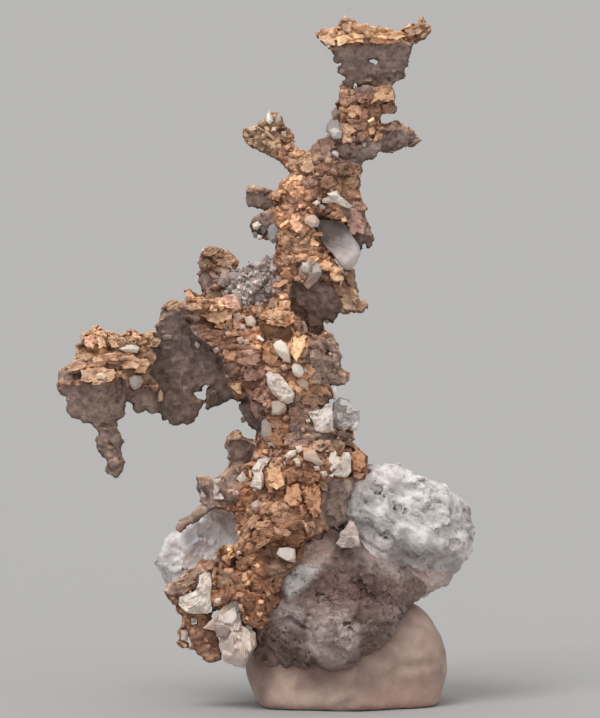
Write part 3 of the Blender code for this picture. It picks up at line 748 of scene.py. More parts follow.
def drawn(field, loops, holes=()):
    """The signed distance of each voxel to the loops drawn on the sheet."""
    cols = (field.lo[0] + field.v * np.arange(field.n[0])) * SHEET + COL0
    y = field.lo[1] + field.v * np.arange(field.n[1])
    z = field.lo[2] + field.v * np.arange(field.n[2])
    row = ROW0 - (z[None, :] + LEAN * y[:, None]) * SHEET
    first = math.floor(row.min()) - 1
    rows = np.arange(first, math.ceil(row.max()) + 3)
    flat = sheet_map(loops, cols, rows)
    if len(holes):
        flat = np.maximum(flat, -sheet_map(holes, cols, rows))
    low = np.floor(row - first).astype(int)
    part = (row - first - low).astype(F32)
    return flat[:, low] * (1 - part) + flat[:, low + 1] * part


def smax(a, b, k):
    return -smin(-a, -b, k)


def recede(field, D, loop, upper, lower, blend=0.09):
    pts = np.array(loop, float)
    front = -9.0 * SHEET
    lo = np.minimum(at(pts[:, 0].min(), pts[:, 1].max(), front), at(pts[:, 0].min(), pts[:, 1].max(), 20))
    hi = np.maximum(at(pts[:, 0].max(), pts[:, 1].min(), front), at(pts[:, 0].max(), pts[:, 1].min(), 20))
    where, (X, Y, Z) = field.window(lo - 0.5, hi + 0.5)
    shape = tuple(s.stop - s.start for s in where)
    col = np.broadcast_to(X * SHEET + COL0, shape)
    row = np.broadcast_to(ROW0 - (Z + LEAN * Y) * SHEET, shape)
    depth = Y * SHEET
    slope = (lower[1] - upper[1]) / (lower[0] - upper[0])
    plane = upper[1] + slope * (row - upper[0])
    flat = polygon_distance(col, row, loop) / SHEET
    wall = (depth - plane) / SHEET
    near = (np.abs(wall) < 0.4) & (flat < 0.3)
    p = field.points(near, [s.start for s in where])
    lift, gap, _ = facets(p / np.array([0.75, 1.2, 1.0]), 1.0, 0.18, 0.10, 403)
    wall[near] += 0.14 * perlin(p, 1.5, 401) + 0.06 * perlin(p, 0.45, 402) + lift
    wall[near] += 0.08 * np.clip(1 - gap / 0.3, 0, 1)
    cut = smax(flat, wall, 0.12)
    D[where] = smax(D[where], -cut, blend)


# How the copper is broken: columns and rows, the size of its layers in
# millimetres (across, in depth, up), their step and their tilt.
LAYERS = [
    ((0, 600, 0, 205), (0.85, 0.80, 0.62), 0.24, 0.26),
    ((250, 600, 205, 430), (1.15, 1.00, 0.60), 0.25, 0.34),
    ((0, 250, 205, 434), (1.55, 1.15, 0.50), 0.22, 0.20),
    ((0, 600, 430, 720), (1.35, 1.15, 0.95), 0.30, 0.34),
]
# Smooth faces: the outline, how smooth, and the tint.
QUIET = [
    ([(92, 424), (124, 418), (128, 480), (104, 482)], 0.45, None),
    ([(234, 402), (262, 402), (266, 434), (250, 434)], 1.0, None),
    ([(186, 626), (222, 634), (226, 666), (200, 664)], 0.45, None),
    ([(340, 200), (356, 202), (368, 226), (376, 246), (366, 252), (350, 236), (342, 214)], 0.8, None),
    ([(308, 148), (320, 138), (333, 141), (332, 158), (314, 164)], 0.8, None),
    ([(306, 350), (328, 336), (344, 350), (346, 390), (320, 394), (308, 372)], 0.4, None),
    ([(288, 400), (328, 394), (330, 438), (290, 442)], 0.7, None),
    ([(338, 286), (352, 288), (372, 298), (368, 314), (342, 314)], 0.7, None),
    ([(196, 476), (236, 468), (240, 505), (198, 504)], 0.8, None),
    ([(174, 520), (205, 502), (214, 506), (200, 522), (178, 534)], 0.8, None),
    ([(166, 582), (186, 570), (200, 562), (216, 562), (210, 576), (180, 596), (168, 594)], 0.6, None),
    ([(286, 196), (300, 200), (302, 212), (298, 226), (288, 226), (280, 212)], 0.05, None),
    ([(248, 212), (262, 206), (272, 208), (272, 226), (256, 236), (248, 226)], 0.8, None),
]


def build_copper():
    names = list(COPPER)
    lo, hi = np.full(3, 1e9), np.full(3, -1e9)
    for strokes, plates in COPPER.values():
        a, b = shape_box(strokes, plates)
        lo, hi = np.minimum(lo, a), np.maximum(hi, b)
    field = Field(lo + REACH - 0.8, hi - REACH + 0.8, VOXEL)
    first = field.d
    second = np.full(field.n, 9.0, F32)
    label = np.full(field.n, -1, np.int8)
    label2 = np.full(field.n, -1, np.int8)
    blend = np.full(field.n, 9.0, F32)
    for number, name in enumerate(names):
        where, d = shape_distance(field, *COPPER[name])
        blend[where] = smin(blend[where], d, 0.35)
        one, two = first[where], second[where]
        best = d < one
        next_ = ~best & (d < two)
        label2[where] = np.where(best, label[where], np.where(next_, number, label2[where]))
        second[where] = np.where(best, one, np.where(next_, d, two))
        label[where] = np.where(best, number, label[where])
        first[where] = np.where(best, d, one)
    note(f"copper strokes {field.n}")
    D = blend - 0.10
    # A thin web along the middle carries the copper out to its drawn edge.
    low = blend.min(axis=1)
    middle = (field.lo[1] + field.v * blend.argmin(axis=1)).astype(F32)
    sure = (low < 1.1).astype(F32)
    for _ in range(4):
        total, weight = np.zeros_like(middle), np.zeros_like(middle)
        for du in (-2, 0, 2):
            for dv in (-2, 0, 2):
                total += np.roll(middle * sure, (du, dv), (0, 1))
                weight += np.roll(sure, (du, dv), (0, 1))
        middle = np.where(sure > 0, total / np.maximum(weight, 1e-6), middle)
    Y = (field.lo[1] + field.v * np.arange(field.n[1])).astype(F32)[None, :, None]
    web = np.abs(Y - middle[:, None, :]) - 0.22
    D = np.where(sure[:, None, :] > 0, smin(D, web, 0.25), D).astype(F32)
    outline = drawn(field, SILHOUETTE, HOLES).astype(F32) - 0.05
    calm = np.zeros(field.n, F32)
    for loop, amount in [(r[0], 1.0) for r in RECEDING] + [q[:2] for q in QUIET]:
        calm = np.maximum(calm, amount * np.clip(0.5 - drawn(field, [loop]) / 0.35, 0, 1))
    index = np.argwhere((np.abs(D) < 0.6) & (outline < 0.45))
    at_ = tuple(index.T)
    p = field.lo + index * field.v
    quiet = calm[at_] * np.clip(0.5 - (p[:, 1] - 0.3) / 1.0, 0, 1)
    calm = None
    rough = 1 - 0.92 * quiet
    col, row, _ = sheet_of(p)
    warp = np.stack([perlin(p, 1.8, 301), perlin(p, 1.8, 302), perlin(p, 1.8, 303)], axis=1)
    bent = p + 0.60 * warp
    move = (0.30 - 0.20 * quiet) * warp[:, 0]
    groove_shade = np.zeros(len(p), F32)
    for (c0, c1, r0, r1), size, step, tilt in LAYERS:
        here = (col >= c0) & (col < c1) & (row >= r0) & (row < r1)
        lift, gap, _ = facets(bent[here] / np.array(size), 1.0, tilt, step, 11)
        cut = np.clip(1 - gap / 0.30, 0, 1)
        move[here] += rough[here] * (lift + 0.17 * cut)
        groove_shade[here] = cut * rough[here]
    lift, gap, _ = facets(p + 0.2 * warp, 0.48, 0.36, 0.085, 12)
    cut = np.clip(1 - gap / 0.22, 0, 1)
    move += (0.12 + rough) * lift + rough * 0.07 * cut
    outline[at_] += 0.9 * lift + 0.05 * perlin(p, 0.34, 6)
    groove_shade = np.maximum(groove_shade, 0.6 * cut * rough)
    move += (0.03 + 0.03 * rough) * perlin(p, 0.34, 6)
    D[at_] += move
    # Painted shade for the grooves, used to darken the tints.
    crease_shade = np.zeros(field.n, np.float16)
    crease_shade[at_] = groove_shade
    note(f"copper broken, {len(p)} points")
    for loop, upper, lower in RECEDING:
        recede(field, D, loop, upper, lower)
    D = smax(D, outline, 0.07)
    note("copper carved")
    return field, D, names, label, label2, first, second, crease_shade


def piece_of(field, D, number, label, label2, first, second):
    """The closed share of the copper nearest to one piece's own strokes."""
    mine = label == number
    near = label2 == number
    where = np.argwhere(mine & (D < 0.4))
    lo = np.maximum(where.min(0) - 3, 0)
    hi = np.minimum(where.max(0) + 4, field.n)
    w = tuple(slice(a, b) for a, b in zip(lo, hi))
    half = (first[w] - second[w]) / 2
    side = np.where(mine[w], half, np.where(near[w], -half, 5.0))
    # The seams wander as cracks do, and the shares run a little into each other.
    axes = [field.lo[k] + field.v * np.arange(lo[k], hi[k]) for k in range(3)]
    wave = (
        0.22 * np.sin(axes[0][:, None, None] * 5.1 + axes[2][None, None, :] * 2.3)
        + 0.18 * np.sin(axes[1][None, :, None] * 6.3 + axes[0][:, None, None] * 3.9)
    )
    sign = np.where(label[w] < label2[w], 1.0, -1.0) * np.where(mine[w], 1.0, -1.0)
    side = np.where(side < 4.0, side + wave * sign - 0.17, side)
    F = np.maximum(D[w], side)
    F = np.pad(F, 1, constant_values=5.0)
    return surface_net(F, field.lo + (lo - 1) * field.v, field.v)


# ------------------------------------------------------------------ tints
GOLD = (0.80, 0.530, 0.320)
TAN = (0.62, 0.410, 0.280)
ORANGE = (0.60, 0.330, 0.195)
BROWN = (0.345, 0.200, 0.143)
UMBER = (0.285, 0.198, 0.166)
PURPLE = (0.295, 0.212, 0.196)
PINK = (0.54, 0.335, 0.272)
OLIVE = (0.48, 0.330, 0.228)
RUST = (0.37, 0.192, 0.120)
AMBER = (0.80, 0.50, 0.30)
LILAC = (0.78, 0.70, 0.66)

# (column, row, radius, tint, strength): what shows at the front. Partly painted light and shade: gold spots on lit tops
# and rims, and many of the purple and umber ones on faces that turn down into shade, besides the copper's own tones.
SPOTS = [
    (365, 33, 16, GOLD, 2.5), (335, 36, 14, GOLD, 2.5), (395, 37, 12, GOLD, 2.0), (421, 27, 12, TAN, 2.5),
    (365, 58, 17, PURPLE, 4.0), (392, 60, 16, PURPLE, 4.0), (350, 66, 14, PURPLE, 3.5), (372, 76, 14, PURPLE, 3.5),
    (382, 93, 9, GOLD, 3.0), (388, 108, 8, BROWN, 2.5), (352, 100, 10, UMBER, 2.0), (350, 110, 7, GOLD, 1.5),
    (370, 116, 10, BROWN, 1.6), (348, 135, 8, TAN, 2.2), (370, 130, 5, GOLD, 2.0), (400, 138, 16, PURPLE, 3.5),
    (355, 150, 14, PURPLE, 3.5), (320, 149, 11, UMBER, 3.0), (350, 178, 11, OLIVE, 1.5),
    (265, 134, 17, (0.52, 0.41, 0.29), 4.0), (252, 134, 10, (0.62, 0.46, 0.31), 3.0),
    (265, 140, 20, OLIVE, 3.0), (250, 135, 9, TAN, 3.0), (274, 124, 12, OLIVE, 3.0), (285, 152, 10, BROWN, 2.5),
    (306, 165, 14, TAN, 2.0), (318, 185, 14, BROWN, 1.2),
    (290, 203, 18, ORANGE, 3.0), (284, 218, 12, ORANGE, 3.0), (300, 240, 16, TAN, 2.0), (312, 240, 8, GOLD, 2.6),
    (297, 217, 6, GOLD, 2.0), (284, 262, 12, BROWN, 1.6), (258, 198, 13, PURPLE, 4.0), (262, 225, 13, UMBER, 3.5),
    (332, 212, 12, BROWN, 2.0), (356, 222, 14, BROWN, 2.2), (364, 242, 10, PURPLE, 3.0), (355, 204, 9, BROWN, 2.0),
    (333, 276, 10, GOLD, 2.0), (349, 280, 10, UMBER, 3.0), (352, 302, 12, OLIVE, 3.0), (363, 306, 6, TAN, 3.0),
    (308, 300, 17, PURPLE, 5.0), (326, 300, 16, PURPLE, 5.0), (314, 322, 12, PURPLE, 4.0),
    (285, 302, 9, GOLD, 3.0), (276, 315, 12, GOLD, 3.0), (296, 314, 8, ORANGE, 2.0), (278, 331, 10, UMBER, 5.0),
    (301, 346, 10, GOLD, 5.0), (262, 345, 12, ORANGE, 1.8), (250, 355, 14, PINK, 2.6), (235, 352, 9, BROWN, 2.0),
    (252, 375, 14, PINK, 3.0), (260, 400, 12, PINK, 2.6), (240, 384, 8, TAN, 3.0), (248, 412, 12, UMBER, 5.0),
    (322, 345, 14, BROWN, 3.0), (330, 365, 12, BROWN, 3.0), (342, 378, 8, UMBER, 3.0), (320, 385, 10, TAN, 1.6),
    (298, 415, 14, BROWN, 3.4), (285, 435, 10, RUST, 2.0), (315, 440, 10, TAN, 1.0), (340, 437, 10, UMBER, 3.0),
    (357, 462, 10, RUST, 3.0), (240, 450, 15, PURPLE, 3.2), (222, 485, 14, OLIVE, 2.0), (242, 495, 14, RUST, 2.6),
    (276, 478, 9, AMBER, 4.5), (300, 478, 12, RUST, 1.8), (310, 500, 14, ORANGE, 2.0), (338, 500, 13, UMBER, 4.0),
    (285, 515, 16, TAN, 1.4), (262, 535, 14, RUST, 1.8), (300, 540, 14, RUST, 2.4), (280, 565, 14, UMBER, 2.4),
    (245, 570, 18, ORANGE, 2.0), (262, 600, 14, RUST, 2.4), (230, 585, 12, ORANGE, 1.4), (205, 566, 10, BROWN, 2.0),
    (178, 588, 10, OLIVE, 2.0), (190, 522, 12, UMBER, 3.0), (205, 640, 16, BROWN, 3.4), (190, 620, 8, BROWN, 2.6),
    (228, 552, 8, AMBER, 1.8), (212, 258, 12, BROWN, 2.4), (222, 262, 10, OLIVE, 3.0), (208, 280, 12, UMBER, 4.0),
    (216, 296, 9, OLIVE, 3.0), (190, 293, 6, TAN, 2.6), (175, 305, 10, GOLD, 1.4), (205, 305, 10, TAN, 2.4),
    (228, 312, 12, GOLD, 1.4), (182, 322, 17, PURPLE, 5.0), (215, 330, 9, BROWN, 2.0),
    (180, 362, 24, PURPLE, 5.5), (215, 370, 20, PURPLE, 5.0), (178, 395, 18, UMBER, 4.5), (190, 415, 13, UMBER, 4.0),
    (140, 398, 14, PURPLE, 4.0), (92, 340, 12, GOLD, 1.8), (118, 342, 12, TAN, 2.4), (148, 342, 10, GOLD, 2.0),
    (120, 362, 18, TAN, 3.0), (85, 362, 12, TAN, 3.0), (138, 366, 10, GOLD, 1.4), (75, 376, 10, OLIVE, 2.4),
    (105, 377, 10, GOLD, 1.6), (95, 392, 15, UMBER, 3.4), (98, 410, 15, UMBER, 3.6), (118, 396, 9, UMBER, 3.0),
    (110, 430, 13, UMBER, 3.6), (110, 455, 15, BROWN, 3.0), (66, 388, 8, BROWN, 2.0),
]


# Flakes that lie on the front of the copper: the outline, the tint, how bright, how proud in millimetres. How bright is
# partly painted light and shade, and the small bright amber flakes are painted glints.
SLABS = [
    ([(355, 87), (370, 85), (374, 94), (369, 105), (360, 104), (356, 96)], PURPLE, 1.0, 0.06),
    ([(318, 32), (326, 28), (334, 30), (338, 38), (334, 47), (326, 45), (320, 40)], TAN, 0.8, 0.18),
    ([(340, 22), (346, 19), (354, 21), (356, 27), (350, 34), (342, 32)], TAN, 0.8, 0.18),
    ([(352, 29), (372, 26), (392, 32), (404, 35), (400, 41), (376, 39), (356, 39)], GOLD, 0.8, 0.14),
    ([(336, 38), (352, 34), (366, 36), (362, 43), (348, 44), (338, 47)], GOLD, 1.0, 0.22),
    ([(368, 38), (386, 38), (400, 42), (388, 45), (372, 44)], ORANGE, 1.3, 0.18),
    ([(404, 30), (416, 26), (424, 20), (429, 26), (420, 34), (408, 38)], TAN, 0.6, 0.14),
    ([(376, 92), (384, 87), (392, 90), (394, 99), (386, 103), (378, 101), (371, 104)], GOLD, 0.6, 0.29),
    ([(380, 104), (391, 103), (396, 109), (390, 114), (382, 112)], BROWN, 1.3, 0.25),
    ([(344, 112), (350, 104), (358, 106), (361, 114), (352, 119)], TAN, 1.0, 0.25),
    ([(356, 106), (368, 110), (369, 118), (360, 121), (357, 114)], BROWN, 1.0, 0.22),
    ([(346, 120), (358, 120), (368, 124), (364, 131), (352, 128)], PINK, 0.8, 0.22),
    ([(341, 124), (350, 124), (355, 131), (349, 137), (342, 134)], TAN, 0.8, 0.25),
    ([(366, 127), (374, 127), (375, 133), (369, 135)], GOLD, 1.3, 0.25),
    ([(341, 134), (352, 136), (352, 143), (342, 143)], TAN, 1.0, 0.29),
    ([(356, 132), (366, 134), (364, 142), (356, 143)], BROWN, 0.8, 0.14),
    ([(340, 98), (349, 96), (352, 103), (345, 108), (340, 105)], BROWN, 1.0, 0.22),
    ([(355, 94), (367, 94), (370, 101), (360, 104), (354, 101)], BROWN, 1.0, 0.11),
    ([(310, 151), (317, 141), (328, 138), (331, 148), (323, 158), (313, 158)], BROWN, 0.8, 0.18),
    ([(336, 144), (352, 143), (362, 146), (356, 156), (344, 160), (336, 153)], UMBER, 1.3, 0.14),
    ([(302, 160), (312, 161), (315, 169), (306, 174), (299, 169)], TAN, 0.8, 0.22),
    ([(316, 162), (328, 163), (330, 170), (320, 175)], BROWN, 1.3, 0.18),
    ([(288, 158), (298, 160), (299, 169), (291, 170)], TAN, 0.6, 0.22),
    ([(333, 166), (344, 162), (352, 166), (350, 174), (340, 176)], OLIVE, 0.8, 0.22),
    ([(344, 176), (354, 174), (359, 181), (356, 189), (347, 188)], OLIVE, 1.3, 0.25),
    ([(320, 178), (332, 176), (336, 184), (328, 190), (320, 187)], BROWN, 1.3, 0.18),
    ([(302, 178), (314, 176), (318, 184), (310, 190), (302, 187)], PINK, 0.6, 0.18),
    ([(292, 214), (299, 213), (301, 220), (296, 223), (291, 220)], GOLD, 1.0, 0.32),
    ([(308, 240), (313, 236), (319, 245), (312, 246)], GOLD, 1.3, 0.29),
    ([(340, 217), (345, 216), (347, 221), (342, 222)], GOLD, 1.3, 0.36),
    ([(342, 208), (352, 207), (360, 212), (366, 224), (362, 234), (350, 235), (346, 224)], PINK, 1.0, 0.25),
    ([(348, 220), (352, 219), (352, 226), (348, 226)], GOLD, 1.3, 0.36),
    ([(328, 275), (340, 272), (345, 280), (334, 282)], TAN, 1.0, 0.25),
    ([(332, 283), (343, 284), (345, 292), (340, 297), (335, 291)], BROWN, 1.3, 0.14),
    ([(342, 290), (349, 284), (352, 292), (358, 298), (354, 311), (344, 308), (341, 299)], OLIVE, 0.8, 0.22),
    ([(356, 298), (364, 300), (367, 304), (362, 311), (355, 310)], OLIVE, 1.3, 0.18),
    ([(279, 300), (286, 296), (291, 303), (288, 311), (279, 309)], GOLD, 0.8, 0.29),
    ([(262, 312), (276, 309), (284, 313), (280, 319), (264, 319)], TAN, 0.8, 0.22),
    ([(282, 316), (294, 312), (299, 321), (290, 325), (282, 323)], ORANGE, 1.3, 0.22),
    ([(266, 320), (280, 320), (290, 325), (284, 327), (268, 324)], GOLD, 1.0, 0.29),
    ([(294, 333), (301, 328), (307, 336), (305, 346), (297, 360), (291, 354), (293, 344)], GOLD, 1.0, 0.22),
    ([(218, 301), (228, 294), (240, 299), (240, 309), (226, 308)], PINK, 1.3, 0.22),
    ([(211, 305), (218, 305), (218, 311), (211, 311)], GOLD, 1.0, 0.29),
    ([(242, 302), (252, 306), (250, 312), (242, 310)], TAN, 1.3, 0.25),
    ([(200, 313), (216, 309), (231, 312), (231, 319), (219, 324), (206, 320)], TAN, 1.0, 0.18),
    ([(233, 320), (239, 318), (244, 323), (240, 329), (234, 328)], PINK, 1.3, 0.29),
    ([(218, 322), (227, 324), (222, 329), (214, 327)], GOLD, 1.3, 0.29),
    ([(206, 292), (212, 288), (223, 288), (222, 299), (212, 304), (206, 300)], OLIVE, 0.6, 0.14),
    ([(186, 293), (190, 289), (196, 297), (204, 300), (203, 306), (192, 304)], ORANGE, 0.8, 0.18),
    ([(166, 306), (175, 300), (182, 304), (178, 309), (168, 311)], TAN, 0.8, 0.18),
    ([(183, 305), (200, 304), (205, 309), (192, 312)], TAN, 0.8, 0.22),
    ([(213, 256), (222, 251), (232, 255), (236, 262), (229, 267), (218, 266)], OLIVE, 1.0, 0.22),
    ([(203, 251), (213, 247), (221, 250), (212, 256), (203, 255)], TAN, 0.6, 0.22),
    ([(198, 262), (209, 257), (214, 263), (209, 268), (201, 268)], OLIVE, 0.8, 0.14),
    ([(206, 269), (215, 268), (223, 277), (220, 284), (212, 276)], TAN, 1.3, 0.22),
    ([(205, 336), (216, 330), (231, 331), (235, 338), (226, 345), (212, 343)], BROWN, 0.8, 0.11),
    ([(226, 346), (235, 345), (240, 351), (236, 361), (226, 361), (222, 354)], ORANGE, 0.8, 0.25),
    ([(241, 351), (250, 348), (259, 351), (261, 360), (256, 365), (244, 364)], PINK, 1.0, 0.25),
    ([(262, 344), (270, 340), (276, 349), (278, 359), (272, 366), (263, 360)], ORANGE, 1.0, 0.22),
    ([(263, 365), (276, 363), (284, 372), (276, 373), (266, 371)], TAN, 1.0, 0.18),
    ([(243, 370), (253, 368), (260, 373), (258, 380), (246, 381)], PINK, 0.8, 0.18),
    ([(232, 378), (240, 370), (245, 378), (241, 386), (243, 396), (236, 392), (232, 386)], GOLD, 1.0, 0.25),
    ([(251, 402), (261, 404), (264, 414), (256, 418), (251, 410)], PINK, 0.8, 0.22),
    ([(296, 366), (310, 362), (316, 372), (306, 380), (298, 378)], ORANGE, 1.0, 0.14),
    ([(309, 384), (327, 387), (331, 395), (318, 396), (309, 391)], ORANGE, 1.0, 0.22),
    ([(303, 396), (316, 398), (326, 403), (312, 408), (303, 404)], ORANGE, 0.6, 0.25),
    ([(289, 405), (300, 408), (308, 410), (312, 431), (298, 434), (289, 429)], BROWN, 0.8, 0.13),
    ([(283, 438), (291, 431), (302, 436), (311, 439), (308, 446), (292, 447), (284, 445)], PINK, 0.6, 0.18),
    ([(272, 421), (282, 420), (286, 426), (278, 430), (272, 427)], PINK, 0.6, 0.22),
    ([(313, 441), (322, 440), (328, 446), (320, 452), (312, 449)], TAN, 0.8, 0.22),
    ([(332, 441), (341, 439), (346, 445), (341, 451), (333, 448)], OLIVE, 0.6, 0.25),
    ([(328, 436), (340, 432), (351, 433), (350, 440), (336, 442)], UMBER, 0.6, 0.11),
    ([(352, 452), (358, 450), (364, 456), (366, 465), (360, 472), (352, 467), (350, 459)], ORANGE, 0.8, 0.25),
    ([(353, 470), (364, 473), (361, 480), (354, 477)], TAN, 1.3, 0.29),
    # Painted glint: a small bright amber flake standing for a facet that catches the light.
    ([(263, 449), (271, 449), (268, 454), (262, 453)], AMBER, 1.3, 0.32),
    ([(268, 460), (280, 456), (288, 460), (282, 467), (270, 468)], TAN, 0.8, 0.25),
    ([(267, 470), (280, 466), (285, 483), (278, 489), (270, 484)], AMBER, 0.8, 0.40),
    ([(284, 468), (298, 472), (300, 480), (288, 482)], RUST, 1.0, 0.14),
    ([(303, 470), (322, 473), (318, 481), (304, 480)], RUST, 0.8, 0.22),
    ([(318, 478), (326, 483), (328, 491), (320, 490)], OLIVE, 1.0, 0.22),
    ([(266, 489), (278, 491), (286, 489), (284, 500), (270, 501)], RUST, 0.6, 0.04),
    ([(287, 485), (300, 484), (301, 503), (291, 506), (284, 501)], ORANGE, 0.8, 0.25),
    ([(303, 489), (312, 483), (320, 484), (321, 508), (318, 517), (311, 514), (304, 502)], ORANGE, 0.8, 0.32),
    ([(281, 508), (299, 506), (305, 512), (300, 526), (287, 530), (273, 524), (271, 515)], RUST, 0.8, 0.14),
    ([(299, 504), (303, 504), (304, 511), (300, 511)], PINK, 1.3, 0.40),
    ([(262, 501), (270, 505), (262, 516), (252, 529), (245, 532), (244, 526), (254, 512)], TAN, 0.8, 0.29),
    ([(252, 531), (262, 527), (273, 528), (275, 535), (266, 544), (251, 541)], RUST, 0.6, 0.14),
    ([(273, 525), (284, 528), (292, 531), (287, 536), (276, 533)], TAN, 0.8, 0.29),
    ([(277, 538), (298, 532), (306, 537), (296, 547), (280, 548)], RUST, 0.8, 0.09),
    ([(254, 547), (262, 540), (271, 537), (268, 542), (258, 549)], TAN, 0.6, 0.29),
    ([(248, 550), (268, 546), (275, 556), (268, 565), (252, 563)], RUST, 0.6, 0.07),
    ([(236, 491), (250, 488), (255, 494), (250, 506), (238, 508), (232, 499)], RUST, 1.3, 0.18),
    ([(235, 512), (244, 508), (250, 514), (245, 523), (238, 524)], RUST, 0.6, 0.11),
    ([(236, 524), (243, 524), (242, 534), (236, 533)], TAN, 1.0, 0.25),
    # Painted glint: a small bright amber flake standing for a facet that catches the light.
    ([(228, 552), (233, 549), (236, 554), (230, 559)], AMBER, 1.3, 0.36),
    ([(219, 547), (225, 545), (229, 549), (225, 554), (220, 552)], RUST, 0.8, 0.32),
    ([(236, 560), (246, 556), (252, 562), (246, 570), (237, 568)], RUST, 0.8, 0.18),
    ([(215, 577), (224, 570), (234, 570), (240, 576), (237, 586), (226, 590), (217, 586)], OLIVE, 0.8, 0.20),
    ([(242, 572), (247, 571), (249, 578), (244, 581)], AMBER, 0.8, 0.36),
    ([(247, 578), (251, 580), (249, 586), (244, 584)], TAN, 1.0, 0.32),
    ([(252, 567), (267, 566), (274, 576), (272, 591), (261, 593), (251, 585)], RUST, 1.0, 0.16),
    ([(212, 591), (222, 586), (231, 591), (226, 601), (214, 606), (210, 600)], RUST, 1.3, 0.20),
    ([(246, 588), (261, 594), (265, 603), (267, 618), (258, 622), (248, 612), (243, 598)], RUST, 0.8, 0.09),
    # Painted glint: a small bright amber flake standing for a facet that catches the light.
    ([(259, 599), (264, 599), (264, 603), (259, 603)], AMBER, 1.3, 0.32),
    ([(257, 606), (262, 605), (264, 612), (260, 617), (257, 613)], TAN, 1.3, 0.29),
    # Painted glint: a small bright amber flake standing for a facet that catches the light.
    ([(245, 614), (249, 616), (249, 620), (245, 618)], AMBER, 1.3, 0.32),
    ([(240, 603), (244, 604), (244, 611), (240, 610)], TAN, 1.0, 0.25),
    ([(186, 577), (198, 567), (204, 572), (196, 582), (184, 588), (172, 591), (172, 583)], OLIVE, 0.8, 0.11),
    ([(203, 561), (213, 559), (218, 566), (212, 571), (204, 568)], RUST, 1.0, 0.29),
    ([(86, 337), (93, 334), (98, 340), (95, 348), (87, 347)], PINK, 1.3, 0.25),
    ([(98, 335), (105, 338), (108, 346), (100, 349)], TAN, 1.3, 0.25),
    ([(109, 338), (118, 334), (124, 341), (122, 348), (112, 348)], TAN, 0.8, 0.18),
    ([(144, 340), (154, 336), (162, 340), (158, 347), (147, 348)], GOLD, 0.8, 0.22),
    ([(80, 358), (96, 356), (110, 360), (104, 366), (86, 368), (72, 372), (66, 368)], OLIVE, 1.3, 0.25),
    ([(84, 370), (104, 366), (117, 370), (116, 380), (98, 384), (82, 381)], TAN, 0.8, 0.22),
    ([(118, 356), (134, 355), (144, 361), (140, 369), (124, 369)], TAN, 0.8, 0.22),
    ([(134, 362), (146, 358), (152, 364), (146, 373), (136, 372)], GOLD, 0.8, 0.25),
    ([(118, 383), (122, 376), (123, 392), (119, 404)], UMBER, 1.0, 0.22),
    ([(213, 479), (225, 477), (227, 490), (224, 500), (214, 501)], LILAC, 0.8, 0.06),
    ([(200, 489), (208, 489), (209, 501), (201, 501)], LILAC, 0.8, 0.05),
    ([(202, 480), (213, 482), (212, 488), (202, 487)], OLIVE, 0.8, 0.15),
    ([(234, 468), (240, 467), (240, 473), (234, 474)], LILAC, 0.6, 0.15),
]
# Tints of the receding faces, in their order, and of the smooth faces. The dark tones among them are painted shade,
# standing for the shade on faces that fall back or turn down; the gold on one receding face is painted light.
SHADE = (0.21, 0.165, 0.155)
UNDER_SHADE = (0.25, 0.20, 0.185)
DUSK = (0.34, 0.26, 0.23)
ASH_SHADE = (0.42, 0.34, 0.31)
DEEP_SHADE = (0.12, 0.09, 0.08)
UMBRA = (0.17, 0.13, 0.12)
FACE_TINTS = [
    UNDER_SHADE, SHADE, UMBRA, DUSK, DUSK, UNDER_SHADE, UMBRA, GOLD,
    ASH_SHADE, ASH_SHADE, DEEP_SHADE, ASH_SHADE, ASH_SHADE, DUSK, DUSK, UNDER_SHADE,
    UNDER_SHADE, BROWN, DUSK, UNDER_SHADE, DUSK, SHADE, OLIVE, UNDER_SHADE,
    DUSK, DUSK, PINK, UNDER_SHADE,
]


def frontness(p, n=None):
    """1 on what the viewer's side shows, falling to 0 behind."""
    y = p[:, 1]
    f = np.clip(0.5 - (y - 0.9) / 1.6, 0, 1)
    if n is not None:
        f = f * np.clip(0.75 - 1.0 * n[:, 1], 0, 1)
    return f


